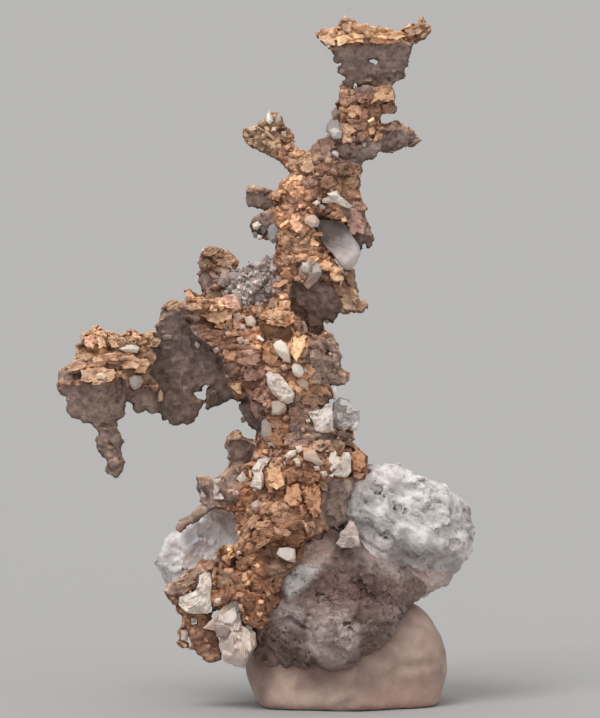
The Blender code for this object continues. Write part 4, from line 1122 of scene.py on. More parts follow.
def copper_tint(p, n):
    col, row, _ = sheet_of(p)
    a = fbm(p, 3.4, 2, 31)
    b = fbm(p, 1.3, 2, 32)
    mix = np.clip(0.5 + 1.1 * a + 0.6 * b, 0, 1)[:, None]
    tone = np.array(BROWN) * (1 - mix) + np.array(ORANGE) * mix
    pale = np.clip((b - 0.12) * 2.2, 0, 1)[:, None]
    tone = tone * (1 - 0.7 * pale) + np.array(TAN) * 0.7 * pale
    dark = np.clip((-a - 0.22) * 3, 0, 1)[:, None]
    tone = tone * (1 - 0.7 * dark) + np.array(UMBER) * 0.7 * dark
    front = frontness(p, n)
    # Behind, where no photo shows it: tarnished areas, tan ones and a few that are rosy.
    behind = (1 - front)[:, None]
    wide, far = fbm(p, 4.5, 2, 33), fbm(p, 2.6, 2, 34)
    for other, field_, edge, amount in ((PURPLE, wide, 0.06, 0.75), (TAN, -wide, 0.10, 0.60), (OLIVE, far, 0.16, 0.55),
                                        (PINK, -far, 0.22, 0.45)):
        k = amount * behind * np.clip((field_ - edge) * 5, 0, 1)[:, None]
        tone = tone * (1 - k) + np.array(other) * k
    total = np.full(len(p), 0.55)
    colour = tone * total[:, None]
    for c, r, radius, tint, strength in SPOTS:
        d2 = ((col - c) ** 2 + (row - r) ** 2) / (radius * radius)
        w = np.where(d2 < 6, strength * np.exp(-d2 * 1.6), 0) * front
        colour += w[:, None] * np.array(tint)
        total += w
    for (loop, *_), tint in zip(RECEDING + QUIET, FACE_TINTS):
        edge = np.array(loop, float)
        near = (col > edge[:, 0].min() - 3) & (col < edge[:, 0].max() + 3)
        near &= (row > edge[:, 1].min() - 3) & (row < edge[:, 1].max() + 3)
        w = 7 * np.clip(0.5 - polygon_distance(col[near], row[near], loop) / SHEET / 0.25, 0, 1) * front[near]
        # Painted shade: the face tints are laid only where a face does not look up.
        w *= np.clip(1.2 - 1.6 * n[near, 2], 0, 1)
        colour[near] += w[:, None] * np.array(tint)
        total[near] += w
    colour /= total[:, None]
    # Painted light: tops are painted golden and a little brighter, and undersides darker, as light from above falls on
    # them.
    up = n[:, 2]
    painted_top_light = 0.45 * np.clip((up - 0.25) * 2.2, 0, 1)[:, None]
    colour = colour * (1 - painted_top_light) + (0.45 * colour + 0.55 * np.array(GOLD)) * painted_top_light
    lift = 1 + 0.10 * np.clip(up, 0, 1) - 0.22 * np.clip(-up, 0, 1)
    colour = colour * lift[:, None]
    return np.clip(colour, 0.01, 0.97)


def openness(field, D, p, n):
    """How open the surface is, 0 in a crevice to 1 on an edge."""
    total = np.zeros(len(p))
    for h in (0.35, 0.8, 1.5):
        total += np.clip(field.sample(p + n * h, D) / h, -0.4, 1.3)
    return np.clip(total / 3, 0, 1.2)


# ---------------------------------------------------------------- crystals
def hull_of(points):
    import bmesh

    bm = bmesh.new()
    for p in points:
        bm.verts.new(p)
    made = bmesh.ops.convex_hull(bm, input=bm.verts)
    loose = [v for v in bm.verts if not v.link_faces]
    bmesh.ops.delete(bm, geom=loose, context="VERTS")
    bmesh.ops.triangulate(bm, faces=bm.faces)
    bmesh.ops.recalc_face_normals(bm, faces=bm.faces)
    bm.verts.index_update()
    verts = np.array([v.co[:] for v in bm.verts])
    tris = np.array([[v.index for v in f.verts] for f in bm.faces])
    bm.free()
    return verts, tris


def prototypes():
    rng = np.random.default_rng(88)
    made = {"chip": [], "plate": [], "block": [], "octa": [], "spike": [], "nub": [], "pebble": []}
    turn = np.arange(20) * 2.39996
    level = 1 - 2 * (np.arange(20) + 0.5) / 20
    ball = np.stack([np.cos(turn) * np.sqrt(1 - level**2), np.sin(turn) * np.sqrt(1 - level**2), level], axis=1)
    for _ in range(12):
        n = rng.integers(8, 11)
        p = rng.normal(size=(n, 3))
        p /= np.linalg.norm(p, axis=1, keepdims=True)
        made["chip"].append(hull_of(p * [1, rng.uniform(0.6, 0.95), rng.uniform(0.34, 0.5)]))
        k = rng.integers(5, 8)
        angle = np.sort(rng.uniform(0, 2 * np.pi, k) * 0.35 + np.arange(k) * 2 * np.pi / k)
        r = rng.uniform(0.65, 1.1, k)
        ring = np.stack([r * np.cos(angle), r * np.sin(angle) * rng.uniform(0.6, 1)], axis=1)
        t = rng.uniform(0.12, 0.24)
        top = np.column_stack([ring * rng.uniform(0.8, 0.95), np.full(k, t)])
        low = np.column_stack([ring, np.full(k, -t)])
        made["plate"].append(hull_of(np.vstack([top, low])))
        cube = np.array([[i, j, l] for i in (-1, 1) for j in (-1, 1) for l in (-1, 1)], float)
        cube *= [0.75, rng.uniform(0.55, 0.75), rng.uniform(0.45, 0.7)]
        made["block"].append(hull_of(cube + rng.uniform(-0.16, 0.16, cube.shape)))
        octa = np.array([[1, 0, 0], [-1, 0, 0], [0, 1, 0], [0, -1, 0], [0, 0, 1], [0, 0, -1]], float)
        octa = octa * rng.uniform(0.7, 1.1, (6, 1)) + rng.uniform(-0.16, 0.16, (6, 3))
        made["octa"].append(hull_of(np.vstack([octa, rng.uniform(-0.62, 0.62, (3, 3))])))
        base = np.array([[np.cos(a), np.sin(a), -1.0] for a in np.arange(5) * 2 * np.pi / 5])
        base[:, :2] *= 0.34 * rng.uniform(0.8, 1.2, (5, 1))
        top = base.copy()
        top[:, 2] = rng.uniform(0.4, 0.9, 5)
        tip = np.array([[rng.uniform(-0.1, 0.1), rng.uniform(-0.1, 0.1), 1.15]])
        made["spike"].append(hull_of(np.vstack([base, top * [0.9, 0.9, 1], tip])))
        p = rng.normal(size=(9, 3))
        p /= np.linalg.norm(p, axis=1, keepdims=True)
        made["nub"].append(hull_of(p * rng.uniform(0.75, 1.0, (9, 1))))
        p = ball + rng.uniform(-0.16, 0.16, ball.shape)
        p = np.sign(p) * np.abs(p) ** 0.8
        made["pebble"].append(hull_of(p * [1, rng.uniform(0.65, 0.95), rng.uniform(0.42, 0.6)]))
    return made


def frames(normals, rng, tilt, lay=None):
    """Rotations whose third axis is the normal, tilted and turned at random."""
    n = normals + rng.normal(size=normals.shape) * tilt
    n /= np.linalg.norm(n, axis=1, keepdims=True)
    ref = rng.normal(size=normals.shape)
    if lay is not None:
        ref = 0.45 * ref + lay
    a = np.cross(ref, n)
    a /= np.maximum(np.linalg.norm(a, axis=1, keepdims=True), 1e-9)
    b = np.cross(n, a)
    return np.stack([a, b, n], axis=2)


def grow_crystals(protos, kind, number, place, rot, size, tint, wear_and_shade):
    """All the crystals of one kind as arrays of points, triangles, tints and openness values, which drive rubbed edges,
    tarnish and painted shade.
    """
    verts, tris, tints, wears = [], [], [], []
    total = 0
    shapes = protos[kind]
    for k, (pv, pt) in enumerate(shapes):
        chosen = np.flatnonzero(number % len(shapes) == k)
        if not len(chosen):
            continue
        local = pv[None] * size[chosen][:, None, :]
        world = np.einsum("nij,nvj->nvi", rot[chosen], local) + place[chosen][:, None, :]
        verts.append(world.reshape(-1, 3))
        step = len(pv)
        tris.append(
            (pt[None] + (np.arange(len(chosen)) * step)[:, None, None] + total).reshape(-1, 3)
        )
        tints.append(np.repeat(tint[chosen], step, axis=0))
        wears.append(np.repeat(wear_and_shade[chosen], step, axis=0))
        total += step * len(chosen)
    tris = np.concatenate(tris)
    return (np.concatenate(verts), tris, np.concatenate(tints), np.concatenate(wears),
            np.full(len(tris), kind == "pebble"))


def scatter(verts, tris, count, rng, weight=None):
    """Points spread over the triangles, and their faces' normals."""
    cross = np.cross(verts[tris[:, 1]] - verts[tris[:, 0]], verts[tris[:, 2]] - verts[tris[:, 0]])
    area = np.linalg.norm(cross, axis=1)
    w = area if weight is None else area * weight
    pick = np.searchsorted(np.cumsum(w), rng.random(count) * w.sum())
    pick = np.clip(pick, 0, len(tris) - 1)
    u, v = rng.random(count), rng.random(count)
    flip = u + v > 1
    u[flip], v[flip] = 1 - u[flip], 1 - v[flip]
    t = tris[pick]
    p = verts[t[:, 0]] + u[:, None] * (verts[t[:, 1]] - verts[t[:, 0]]) + v[:, None] * (verts[t[:, 2]] - verts[t[:, 0]])
    return p, cross[pick] / np.maximum(area[pick], 1e-12)[:, None], pick


def join(parts, smooth_first=1):
    """Several (points, triangles, tints, openness values) as one, and which faces are smooth."""
    verts, tris, tints, wears, flags, at_ = [], [], [], [], [], 0
    for number, (v, t, c, w, *smooth) in enumerate(parts):
        verts.append(v)
        tris.append(t + at_)
        tints.append(c)
        wears.append(w)
        flags.append(smooth[0] if smooth else np.full(len(t), number < smooth_first))
        at_ += len(v)
    return (np.concatenate(verts), np.concatenate(tris), np.concatenate(tints), np.concatenate(wears),
            np.concatenate(flags))


# --------------------------------------------------------------- materials
def shader(name):
    material = bpy.data.materials.new(name)
    material.use_nodes = True
    tree = material.node_tree
    tree.nodes.clear()
    out = tree.nodes.new("ShaderNodeOutputMaterial")
    bsdf = tree.nodes.new("ShaderNodeBsdfPrincipled")
    tree.links.new(bsdf.outputs["BSDF"], out.inputs["Surface"])
    return material, tree, bsdf


class Graph:
    def __init__(self, tree):
        self.t = tree

    def node(self, kind, **settings):
        n = self.t.nodes.new(kind)
        for k, v in settings.items():
            setattr(n, k, v)
        return n

    def link(self, a, b):
        self.t.links.new(a, b)

    def coords(self):
        return self.node("ShaderNodeTexCoord").outputs["Object"]

    def attribute(self, name):
        n = self.node("ShaderNodeAttribute", attribute_name=name)
        return n.outputs["Color"]

    def split(self, colour):
        n = self.node("ShaderNodeSeparateColor")
        self.link(colour, n.inputs[0])
        return n.outputs

    def noise(self, vector, scale, detail=3.0, rough=0.55, distortion=0.0):
        n = self.node("ShaderNodeTexNoise")
        n.inputs["Scale"].default_value = scale
        n.inputs["Detail"].default_value = detail
        n.inputs["Roughness"].default_value = rough
        n.inputs["Distortion"].default_value = distortion
        self.link(vector, n.inputs["Vector"])
        return n.outputs["Fac"]

    def voronoi(self, vector, scale, feature="F1", out="Distance"):
        n = self.node("ShaderNodeTexVoronoi", feature=feature)
        n.inputs["Scale"].default_value = scale
        self.link(vector, n.inputs["Vector"])
        return n.outputs[out]

    def ramp(self, value, low, high, a=0.0, b=1.0):
        n = self.node("ShaderNodeMapRange")
        n.inputs["From Min"].default_value = low
        n.inputs["From Max"].default_value = high
        n.inputs["To Min"].default_value = a
        n.inputs["To Max"].default_value = b
        self.link(value, n.inputs["Value"])
        return n.outputs["Result"]

    def math(self, op, a, b=None, clamp=False):
        n = self.node("ShaderNodeMath", operation=op, use_clamp=clamp)
        for i, v in enumerate((a, b)):
            if v is None:
                continue
            if isinstance(v, (int, float)):
                n.inputs[i].default_value = v
            else:
                self.link(v, n.inputs[i])
        return n.outputs[0]

    def mix(self, factor, a, b, blend="MIX"):
        n = self.node("ShaderNodeMix", data_type="RGBA", blend_type=blend)
        for socket, v in ((n.inputs[0], factor), (n.inputs[6], a), (n.inputs[7], b)):
            if isinstance(v, (int, float)):
                socket.default_value = v
            elif isinstance(v, tuple):
                socket.default_value = (*v, 1.0)
            else:
                self.link(v, socket)
        return n.outputs[2]

    def bump(self, height, strength, distance, normal=None):
        n = self.node("ShaderNodeBump")
        n.inputs["Strength"].default_value = strength
        n.inputs["Distance"].default_value = distance
        self.link(height, n.inputs["Height"])
        if normal is not None:
            self.link(normal, n.inputs["Normal"])
        return n.outputs["Normal"]


def copper_material(name, metal, rough, patina):
    material, tree, bsdf = shader(name)
    g = Graph(tree)
    where = g.coords()
    tint = g.attribute("tint")
    wear_and_shade = g.split(g.attribute("wear_and_shade"))
    mottle = g.noise(where, 1500.0, 4.0, 0.6, 0.4)
    crust = g.noise(where, 3000.0, 3.0, 0.6, 0.6)
    grit = g.noise(where, 6500.0, 2.0, 0.6)
    broad = g.noise(where, 520.0, 3.0, 0.55, 0.6)
    base = g.mix(g.ramp(mottle, 0.32, 0.70), g.mix(1.0, tint, (1.02, 0.98, 0.96), "MULTIPLY"),
                 g.mix(1.0, tint, (1.38, 1.38, 1.37), "MULTIPLY"))
    base = g.mix(g.ramp(crust, 0.46, 0.32, 0.0, 0.75), base, g.mix(1.0, base, (0.58, 0.46, 0.42), "MULTIPLY"))
    base = g.mix(g.ramp(crust, 0.58, 0.72, 0.0, 0.55), base, g.mix(1.0, base, (1.38, 1.36, 1.28), "MULTIPLY"))
    base = g.mix(g.ramp(grit, 0.56, 0.70, 0.0, 0.30), base, g.mix(1.0, base, (0.72, 0.64, 0.60), "MULTIPLY"))
    tarnish = g.math("MULTIPLY", g.ramp(wear_and_shade[1], 0.15, 0.75), g.ramp(broad, 0.3, 0.62, 0.35, 1.0))
    tarnish = g.math("MULTIPLY", tarnish, patina)
    base = g.mix(tarnish, base, g.mix(1.0, base, (0.56, 0.48, 0.45), "MULTIPLY"))
    rub = g.math("MULTIPLY", g.ramp(wear_and_shade[0], 0.72, 1.05), g.ramp(mottle, 0.40, 0.66, 0.05, 0.5))
    base = g.mix(rub, base, g.mix(1.0, base, (1.25, 1.22, 1.15), "MULTIPLY"))
    g.link(base, bsdf.inputs["Base Color"])
    g.link(g.math("SUBTRACT", g.ramp(grit, 0.3, 0.7, metal, metal - 0.10), g.math("MULTIPLY", tarnish, 0.15), True),
           bsdf.inputs["Metallic"])
    g.link(g.math("ADD", g.ramp(mottle, 0.3, 0.7, rough + 0.10, rough - 0.08),
                  g.math("MULTIPLY", wear_and_shade[2], 0.12), True), bsdf.inputs["Roughness"])
    bsdf.inputs["Specular IOR Level"].default_value = 0.22
    relief = g.math("ADD", crust, g.math("MULTIPLY", grit, 0.35))
    g.link(g.bump(relief, 0.60, 0.00012), bsdf.inputs["Normal"])
    return material


def calcite_material(name, shade=(1.0, 1.0, 1.0), rough=0.42, clear=0.12):
    material, tree, bsdf = shader(name)
    g = Graph(tree)
    where = g.coords()
    tint = g.attribute("tint")
    wear_and_shade = g.split(g.attribute("wear_and_shade"))
    cloud = g.noise(where, 900.0, 4.0, 0.6, 0.8)
    fine = g.noise(where, 4200.0, 3.0, 0.6)
    base = g.mix(g.ramp(cloud, 0.35, 0.68), g.mix(1.0, tint, (0.86, 0.83, 0.80), "MULTIPLY"), tint)
    base = g.mix(g.ramp(fine, 0.60, 0.75, 0.0, 0.30), base, g.mix(1.0, base, (0.80, 0.72, 0.66), "MULTIPLY"))
    base = g.mix(g.ramp(wear_and_shade[1], 0.25, 0.9, 0.0, 0.45), base, g.mix(1.0, base, (0.62, 0.50, 0.44), "MULTIPLY"))
    base = g.mix(1.0, base, shade, "MULTIPLY")
    g.link(base, bsdf.inputs["Base Color"])
    g.link(g.ramp(cloud, 0.3, 0.7, rough + 0.14, rough - 0.08), bsdf.inputs["Roughness"])
    bsdf.inputs["Subsurface Weight"].default_value = clear
    bsdf.inputs["Subsurface Radius"].default_value = (1.0, 0.82, 0.7)
    bsdf.inputs["Subsurface Scale"].default_value = 0.0005
    bsdf.inputs["IOR"].default_value = 1.55
    g.link(g.bump(g.math("ADD", g.math("MULTIPLY", fine, 0.4), g.math("MULTIPLY", cloud, 0.8)), 0.30, 0.00008),
           bsdf.inputs["Normal"])
    return material


def rock_material(name, dark, rough, grain=0.5, glitter=0.0):
    material, tree, bsdf = shader(name)
    g = Graph(tree)
    where = g.coords()
    tint = g.attribute("tint")
    wear_and_shade = g.split(g.attribute("wear_and_shade"))
    broad = g.noise(where, 420.0, 5.0, 0.62, 0.9)
    middle = g.noise(where, 1500.0, 5.0, 0.65, 0.5)
    fine = g.noise(where, 5200.0, 3.0, 0.7)
    specks = g.voronoi(where, 2600.0)
    base = g.mix(g.ramp(broad, 0.34, 0.66), g.mix(1.0, tint, (0.84, 0.83, 0.84), "MULTIPLY"),
                 g.mix(1.0, tint, (1.13, 1.12, 1.10), "MULTIPLY"))
    base = g.mix(g.ramp(middle, 0.54, 0.70, 0.0, 0.5 * grain), base, g.mix(1.0, base, (0.66, 0.62, 0.63), "MULTIPLY"))
    base = g.mix(g.ramp(specks, 0.0, 0.16, 0.5 * grain, 0.0), base, (0.80, 0.78, 0.77))
    base = g.mix(g.ramp(fine, 0.60, 0.72, 0.0, 0.4 * grain), base, dark)
    # Painted shade: the hollows are darkened towards the dark tone.
    base = g.mix(g.ramp(wear_and_shade[1], 0.25, 0.85, 0.0, 0.6), base, dark)
    # Hairline cracks, only in some places.
    line = g.math("ABSOLUTE", g.math("SUBTRACT", g.noise(where, 620.0, 4.0, 0.6, 1.2), 0.5))
    crack = g.math("MULTIPLY", g.ramp(line, 0.0, 0.020, grain, 0.0), g.ramp(broad, 0.44, 0.60, 0.0, 1.0))
    base = g.mix(g.math("MULTIPLY", crack, 0.75), base, dark)
    g.link(base, bsdf.inputs["Base Color"])
    g.link(g.ramp(middle, 0.3, 0.7, rough + 0.1, rough - 0.12 - glitter), bsdf.inputs["Roughness"])
    bsdf.inputs["Specular IOR Level"].default_value = 0.4
    relief = g.math("ADD", g.math("MULTIPLY", middle, 0.9), g.math("MULTIPLY", fine, 0.45))
    relief = g.math("SUBTRACT", relief, g.math("MULTIPLY", crack, 0.7))
    g.link(g.bump(relief, min(1.0, 0.9 * grain + 0.1), 0.00014), bsdf.inputs["Normal"])
    return material


# ================================================================ calcite
WHITE = (0.86, 0.81, 0.75)
CREAM = (0.80, 0.68, 0.57)
GREY = (0.56, 0.55, 0.56)
BEIGE = (0.62, 0.50, 0.42)
ROSE = (0.72, 0.54, 0.48)

# node: the grains drawn on it, as (outline, depth, thickness mm, tint, how proud
# mm). Without a depth a grain sits on the front of the copper.
CALCITE = {
    "calcite_grain_upper": [
        ([(273, 345), (276, 341), (281, 340), (286, 343), (290, 350), (291, 358), (290, 363), (285, 362), (279, 356),
          (275, 351)], None, 1.3, (0.90, 0.80, 0.70), 0.42),
        ([(291, 367), (294, 363), (299, 364), (303, 368), (304, 373), (301, 377), (296, 377), (293, 373)],
         None, 1.0, (0.96, 0.90, 0.80), 0.50),
        ([(296, 380), (302, 377), (309, 382), (308, 390), (300, 390)], None, 0.9, (0.60, 0.45, 0.36), 0.25),
    ],
    "calcite_grain_mid": [
        ([(266, 374), (270, 370), (276, 371), (283, 377), (290, 386), (295, 394), (293, 402), (288, 404), (281, 401),
          (273, 394), (268, 386)], None, 1.5, (0.78, 0.70, 0.65), 0.45),
        ([(271, 402), (279, 400), (286, 401), (287, 409), (284, 415), (272, 415)], None, 1.1, (0.62, 0.50, 0.45), 0.30),
        ([(262, 421), (266, 417), (271, 419), (273, 430), (271, 441), (266, 443), (261, 436)], None, 1.0,
         (0.46, 0.37, 0.34), 0.22),
    ],
    "calcite_grain_right": [
        ([(305, 410), (313, 411), (321, 409), (325, 404), (330, 403), (333, 412), (333, 432), (322, 433), (316, 431),
          (312, 420)], None, 1.4, (0.80, 0.72, 0.67), 0.42),
    ],
    "calcite_grain_left": [
        ([(252, 468), (258, 460), (266, 456), (271, 458), (266, 464), (262, 470), (264, 476), (264, 486), (261, 490),
          (250, 486), (254, 476)], None, 1.2, (0.80, 0.72, 0.65), 0.36),
        ([(236, 479), (240, 474), (244, 470), (246, 476), (250, 480), (246, 485), (240, 483)], None, 0.9,
         (0.60, 0.51, 0.45), 0.28),
        ([(252, 502), (258, 499), (262, 503), (257, 512), (252, 509)], None, 0.8, (0.56, 0.42, 0.36), 0.25),
    ],
    "calcite_grain_big": [
        ([(326, 450), (330, 452), (335, 450), (337, 456), (342, 457), (343, 452), (349, 452), (351, 458), (351, 472),
          (347, 477), (338, 477), (330, 474), (326, 466)], None, 1.5, (0.86, 0.77, 0.70), 0.45),
        ([(303, 453), (309, 449), (314, 449), (320, 458), (324, 464), (318, 466), (312, 462), (304, 459)],
         None, 1.1, (0.66, 0.52, 0.44), 0.36),
        ([(284, 456), (290, 450), (297, 449), (296, 455), (289, 459)], None, 0.9, (0.86, 0.74, 0.64), 0.34),
        ([(295, 446), (302, 445), (303, 450), (298, 453)], None, 0.8, (0.84, 0.74, 0.65), 0.34),
        ([(293, 458), (298, 457), (301, 462), (300, 467), (296, 466)], None, 0.8, (0.86, 0.72, 0.60), 0.34),
        ([(313, 466), (319, 465), (320, 470), (315, 471)], None, 0.7, (0.60, 0.46, 0.37), 0.28),
        ([(318, 471), (326, 470), (328, 475), (322, 478)], None, 0.8, (0.66, 0.52, 0.44), 0.30),
    ],
    "calcite_wedge": [
        ([(336, 543), (343, 530), (349, 520), (354, 522), (359, 535), (360, 546), (342, 548)], -62, 1.4,
         (0.66, 0.56, 0.52), 0.35),
    ],
    "calcite_chip": [
        ([(276, 553), (279, 547), (287, 546), (295, 548), (296, 556), (294, 562), (285, 559)], -84, 1.5,
         (0.72, 0.63, 0.59), 0.25),
    ],
    "calcite_low_left": [
        ([(200, 575), (206, 571), (211, 574), (213, 584), (211, 594), (212, 604), (208, 612), (198, 614), (186, 612),
          (179, 604), (180, 597), (188, 594), (196, 590), (199, 583)], -44, 2.2, (0.88, 0.80, 0.73), 0.55),
        ([(184, 598), (194, 594), (203, 598), (202, 607), (190, 609)], -50, 1.0, (0.90, 0.83, 0.77), 0.3),
    ],
    "calcite_foot_grain": [
        ([(233, 593), (240, 600), (240, 612), (243, 625), (256, 632), (257, 645), (250, 655), (245, 668), (225, 662),
          (219, 645), (221, 637), (214, 630), (203, 628), (213, 618), (224, 606)], -44, 2.6, (0.74, 0.62, 0.56), 0.6),
        ([(226, 612), (236, 604), (238, 616), (234, 626), (224, 622)], -56, 1.0, (0.84, 0.76, 0.71), 0.25),
        ([(215, 626), (222, 624), (230, 628), (231, 634), (225, 639), (217, 636)], -60, 0.9, (0.36, 0.28, 0.265), 0.25),
    ],
    "calcite_crystal_beige": [
        ([(299, 267), (301, 261), (306, 258), (316, 259), (322, 265), (322, 275), (315, 284), (308, 290), (302, 283),
          (298, 275)], None, 1.6, (0.42, 0.33, 0.285), 0.34),
    ],
    "calcite_grey_cluster": [
        ([(333, 403), (340, 397), (348, 399), (352, 404), (359, 410), (360, 420), (357, 428), (345, 431),
          (335, 432), (331, 420)], 0, 2.2, (0.60, 0.57, 0.56), 0.4),
        ([(340, 398), (347, 399), (350, 405), (344, 409), (338, 405)], -6, 1.0, (0.74, 0.72, 0.71), 0.3),
        ([(346, 410), (356, 410), (358, 418), (350, 421), (344, 416)], -8, 1.0, (0.66, 0.63, 0.61), 0.3),
        ([(336, 412), (343, 412), (344, 422), (337, 424)], -8, 1.0, (0.60, 0.58, 0.57), 0.3),
        ([(331, 388), (336, 386), (338, 396), (334, 401)], -12, 1.0, (0.90, 0.84, 0.79), 0.25),
        ([(352, 422), (359, 421), (357, 430), (350, 431)], -8, 1.0, (0.76, 0.74, 0.72), 0.25),
    ],
    "calcite_ridge": [
        ([(320, 199), (325, 193), (331, 192), (337, 190), (340, 196), (346, 201), (352, 207), (348, 209), (341, 206),
          (334, 203), (328, 204), (322, 203)], None, 1.1, (0.95, 0.85, 0.77), 0.50),
        ([(327, 194), (336, 191), (339, 197), (333, 199)], None, 0.8, (0.92, 0.87, 0.82), 0.60),
        ([(303, 219), (308, 214), (315, 215), (320, 221), (318, 227), (311, 228), (305, 224)], None, 1.0,
         (0.70, 0.54, 0.44), 0.40),
        ([(311, 203), (317, 200), (321, 203), (316, 206)], None, 0.7, (0.90, 0.78, 0.70), 0.36),
    ],
    "calcite_cloud": [
        ([(314, 224), (322, 219), (334, 220), (346, 225), (353, 236), (359, 246), (360, 255), (357, 263),
          (352, 269), (345, 270), (339, 265), (334, 256), (323, 244)], 0, 2.2, (0.50, 0.46, 0.45), 0.20),
    ],
    "calcite_back_upper": [],
    "calcite_back_lower": [],
    "calcite_back_high": [],
}
# Smaller grains on the front of the copper: outline, tint, how proud in mm.
PEBBLES = [
    ([(130, 378), (135, 374), (142, 375), (145, 381), (141, 388), (135, 390), (131, 385)], (0.56, 0.49, 0.45), 0.32),
    ([(119, 349), (124, 347), (128, 343), (136, 343), (141, 348), (138, 353), (128, 353)], (0.88, 0.78, 0.68), 0.32),
    ([(195, 341), (199, 341), (201, 346), (198, 349), (195, 345)], (0.72, 0.63, 0.58), 0.25),
    # Painted glints: the next two golden grains stand for facets that catch the light.
    ([(97, 374), (104, 372), (108, 376), (106, 380), (99, 379)], (0.88, 0.70, 0.52), 0.28),
    ([(157, 392), (161, 389), (164, 393), (163, 401), (158, 402), (155, 397)], (0.86, 0.66, 0.46), 0.28),
    ([(233, 314), (240, 313), (244, 318), (239, 322), (234, 320)], (0.82, 0.66, 0.57), 0.30),
    ([(244, 318), (252, 315), (258, 321), (254, 327), (247, 326)], (0.84, 0.68, 0.58), 0.30),
    ([(238, 323), (246, 324), (247, 330), (240, 330)], (0.76, 0.58, 0.49), 0.26),
    ([(162, 336), (168, 334), (174, 335), (173, 339), (164, 340)], (0.42, 0.35, 0.32), 0.20),
    ([(246, 300), (254, 298), (262, 301), (261, 307), (252, 308), (246, 305)], (0.72, 0.61, 0.55), 0.30),
    ([(331, 112), (335, 107), (340, 111), (339, 119), (333, 121)], (0.34, 0.26, 0.22), 0.30),
    ([(327, 124), (331, 118), (338, 119), (343, 127), (343, 138), (336, 141), (331, 137), (326, 131)],
     (0.30, 0.27, 0.265), 0.30),
    ([(329, 130), (335, 128), (342, 132), (341, 139), (333, 140)], (0.58, 0.55, 0.55), 0.42),
    ([(331, 150), (336, 150), (339, 154), (338, 159), (332, 157)], (0.86, 0.80, 0.75), 0.30),
    ([(361, 142), (366, 143), (366, 147), (362, 147)], (0.78, 0.68, 0.60), 0.25),
    ([(252, 224), (258, 221), (262, 225), (258, 230), (253, 229)], (0.84, 0.76, 0.70), 0.30),
    ([(260, 227), (265, 226), (268, 231), (263, 235)], (0.16, 0.13, 0.12), 0.28),
    ([(252, 232), (257, 231), (259, 237), (254, 238)], (0.30, 0.26, 0.24), 0.28),
    ([(258, 234), (263, 236), (261, 240), (257, 239)], (0.80, 0.72, 0.66), 0.30),
    ([(269, 226), (274, 223), (279, 230), (279, 241), (273, 244), (267, 238)], (0.30, 0.29, 0.30), 0.25),
    ([(268, 238), (274, 239), (276, 246), (272, 250), (268, 246)], (0.58, 0.55, 0.55), 0.22),
    ([(246, 438), (251, 432), (256, 431), (257, 439), (248, 441)], (0.47, 0.42, 0.40), 0.18),
    ([(243, 470), (247, 469), (248, 475), (244, 476)], (0.30, 0.20, 0.15), 0.20),
    ([(264, 402), (268, 403), (266, 407), (263, 405)], (0.86, 0.62, 0.40), 0.28),
    ([(235, 491), (239, 490), (240, 494), (237, 496)], (0.72, 0.58, 0.51), 0.26),
    ([(237, 531), (241, 530), (241, 535), (238, 537)], (0.82, 0.62, 0.48), 0.28),
    ([(328, 353), (331, 352), (332, 355), (329, 356)], (0.86, 0.72, 0.62), 0.25),
    ([(301, 428), (304, 427), (305, 431), (302, 432)], (0.60, 0.40, 0.30), 0.20),
    ([(236, 551), (240, 549), (242, 553), (238, 555)], (0.80, 0.58, 0.40), 0.26),
    ([(213, 600), (219, 597), (224, 599), (218, 604)], (0.86, 0.76, 0.68), 0.30),
    ([(191, 618), (196, 617), (197, 622), (192, 624)], (0.80, 0.70, 0.62), 0.28),
    ([(181, 630), (186, 628), (189, 634), (188, 641), (182, 641)], (0.66, 0.58, 0.53), 0.28),
    ([(212, 348), (218, 346), (221, 351), (216, 354)], (0.50, 0.35, 0.27), 0.22),
    ([(236, 338), (243, 336), (246, 341), (240, 345)], (0.66, 0.46, 0.36), 0.25),
    ([(280, 365), (286, 364), (288, 369), (283, 371)], (0.62, 0.43, 0.33), 0.26),
    ([(244, 340), (249, 339), (250, 344), (245, 345)], (0.80, 0.60, 0.46), 0.28),
    ([(225, 333), (229, 331), (232, 334), (228, 337)], (0.80, 0.60, 0.46), 0.28),
    ([(265, 121), (267, 114), (269, 109), (271, 114), (274, 121), (270, 125)], (0.86, 0.80, 0.74), 0.34),
    ([(275, 123), (277, 115), (279, 111), (281, 117), (282, 124), (278, 126)], (0.52, 0.44, 0.36), 0.32),
    ([(284, 124), (287, 120), (290, 119), (291, 126), (286, 129)], (0.70, 0.64, 0.57), 0.32),
    ([(258, 124), (261, 119), (265, 117), (266, 124), (262, 127)], (0.50, 0.41, 0.31), 0.30),
    ([(272, 127), (277, 127), (276, 132), (271, 131)], (0.80, 0.72, 0.62), 0.26),
    ([(246, 129), (252, 126), (257, 129), (251, 133)], (0.74, 0.56, 0.38), 0.28),
    ([(281, 131), (286, 131), (287, 137), (282, 137)], (0.54, 0.46, 0.38), 0.28),
    ([(262, 133), (266, 134), (266, 139), (261, 139)], (0.56, 0.44, 0.32), 0.26),
]
# (column, row, depth), (half column, half row, half depth), turn in degrees, tint.
LUMPS = {
    "calcite_back_upper": ((302, 345, 44), (15, 19, 10), 30, WHITE),
    "calcite_back_lower": ((296, 462, 42), (18, 20, 18), -15, (0.80, 0.74, 0.68)),
    "calcite_back_high": ((300, 232, 26), (11, 14, 9), 20, (0.66, 0.63, 0.62)),
    "calcite_wedge": ((349, 535, -54), (9, 12, 9), -12, (0.80, 0.72, 0.64)),
    "calcite_foot_grain": ((236, 640, -24), (16, 26, 16), 10, (0.74, 0.68, 0.63)),
    "calcite_low_left": ((197, 595, -20), (14, 18, 12), 30, WHITE),
    "calcite_cloud": ((340, 244, 16), (12, 17, 9), 20, (0.46, 0.43, 0.42)),
}


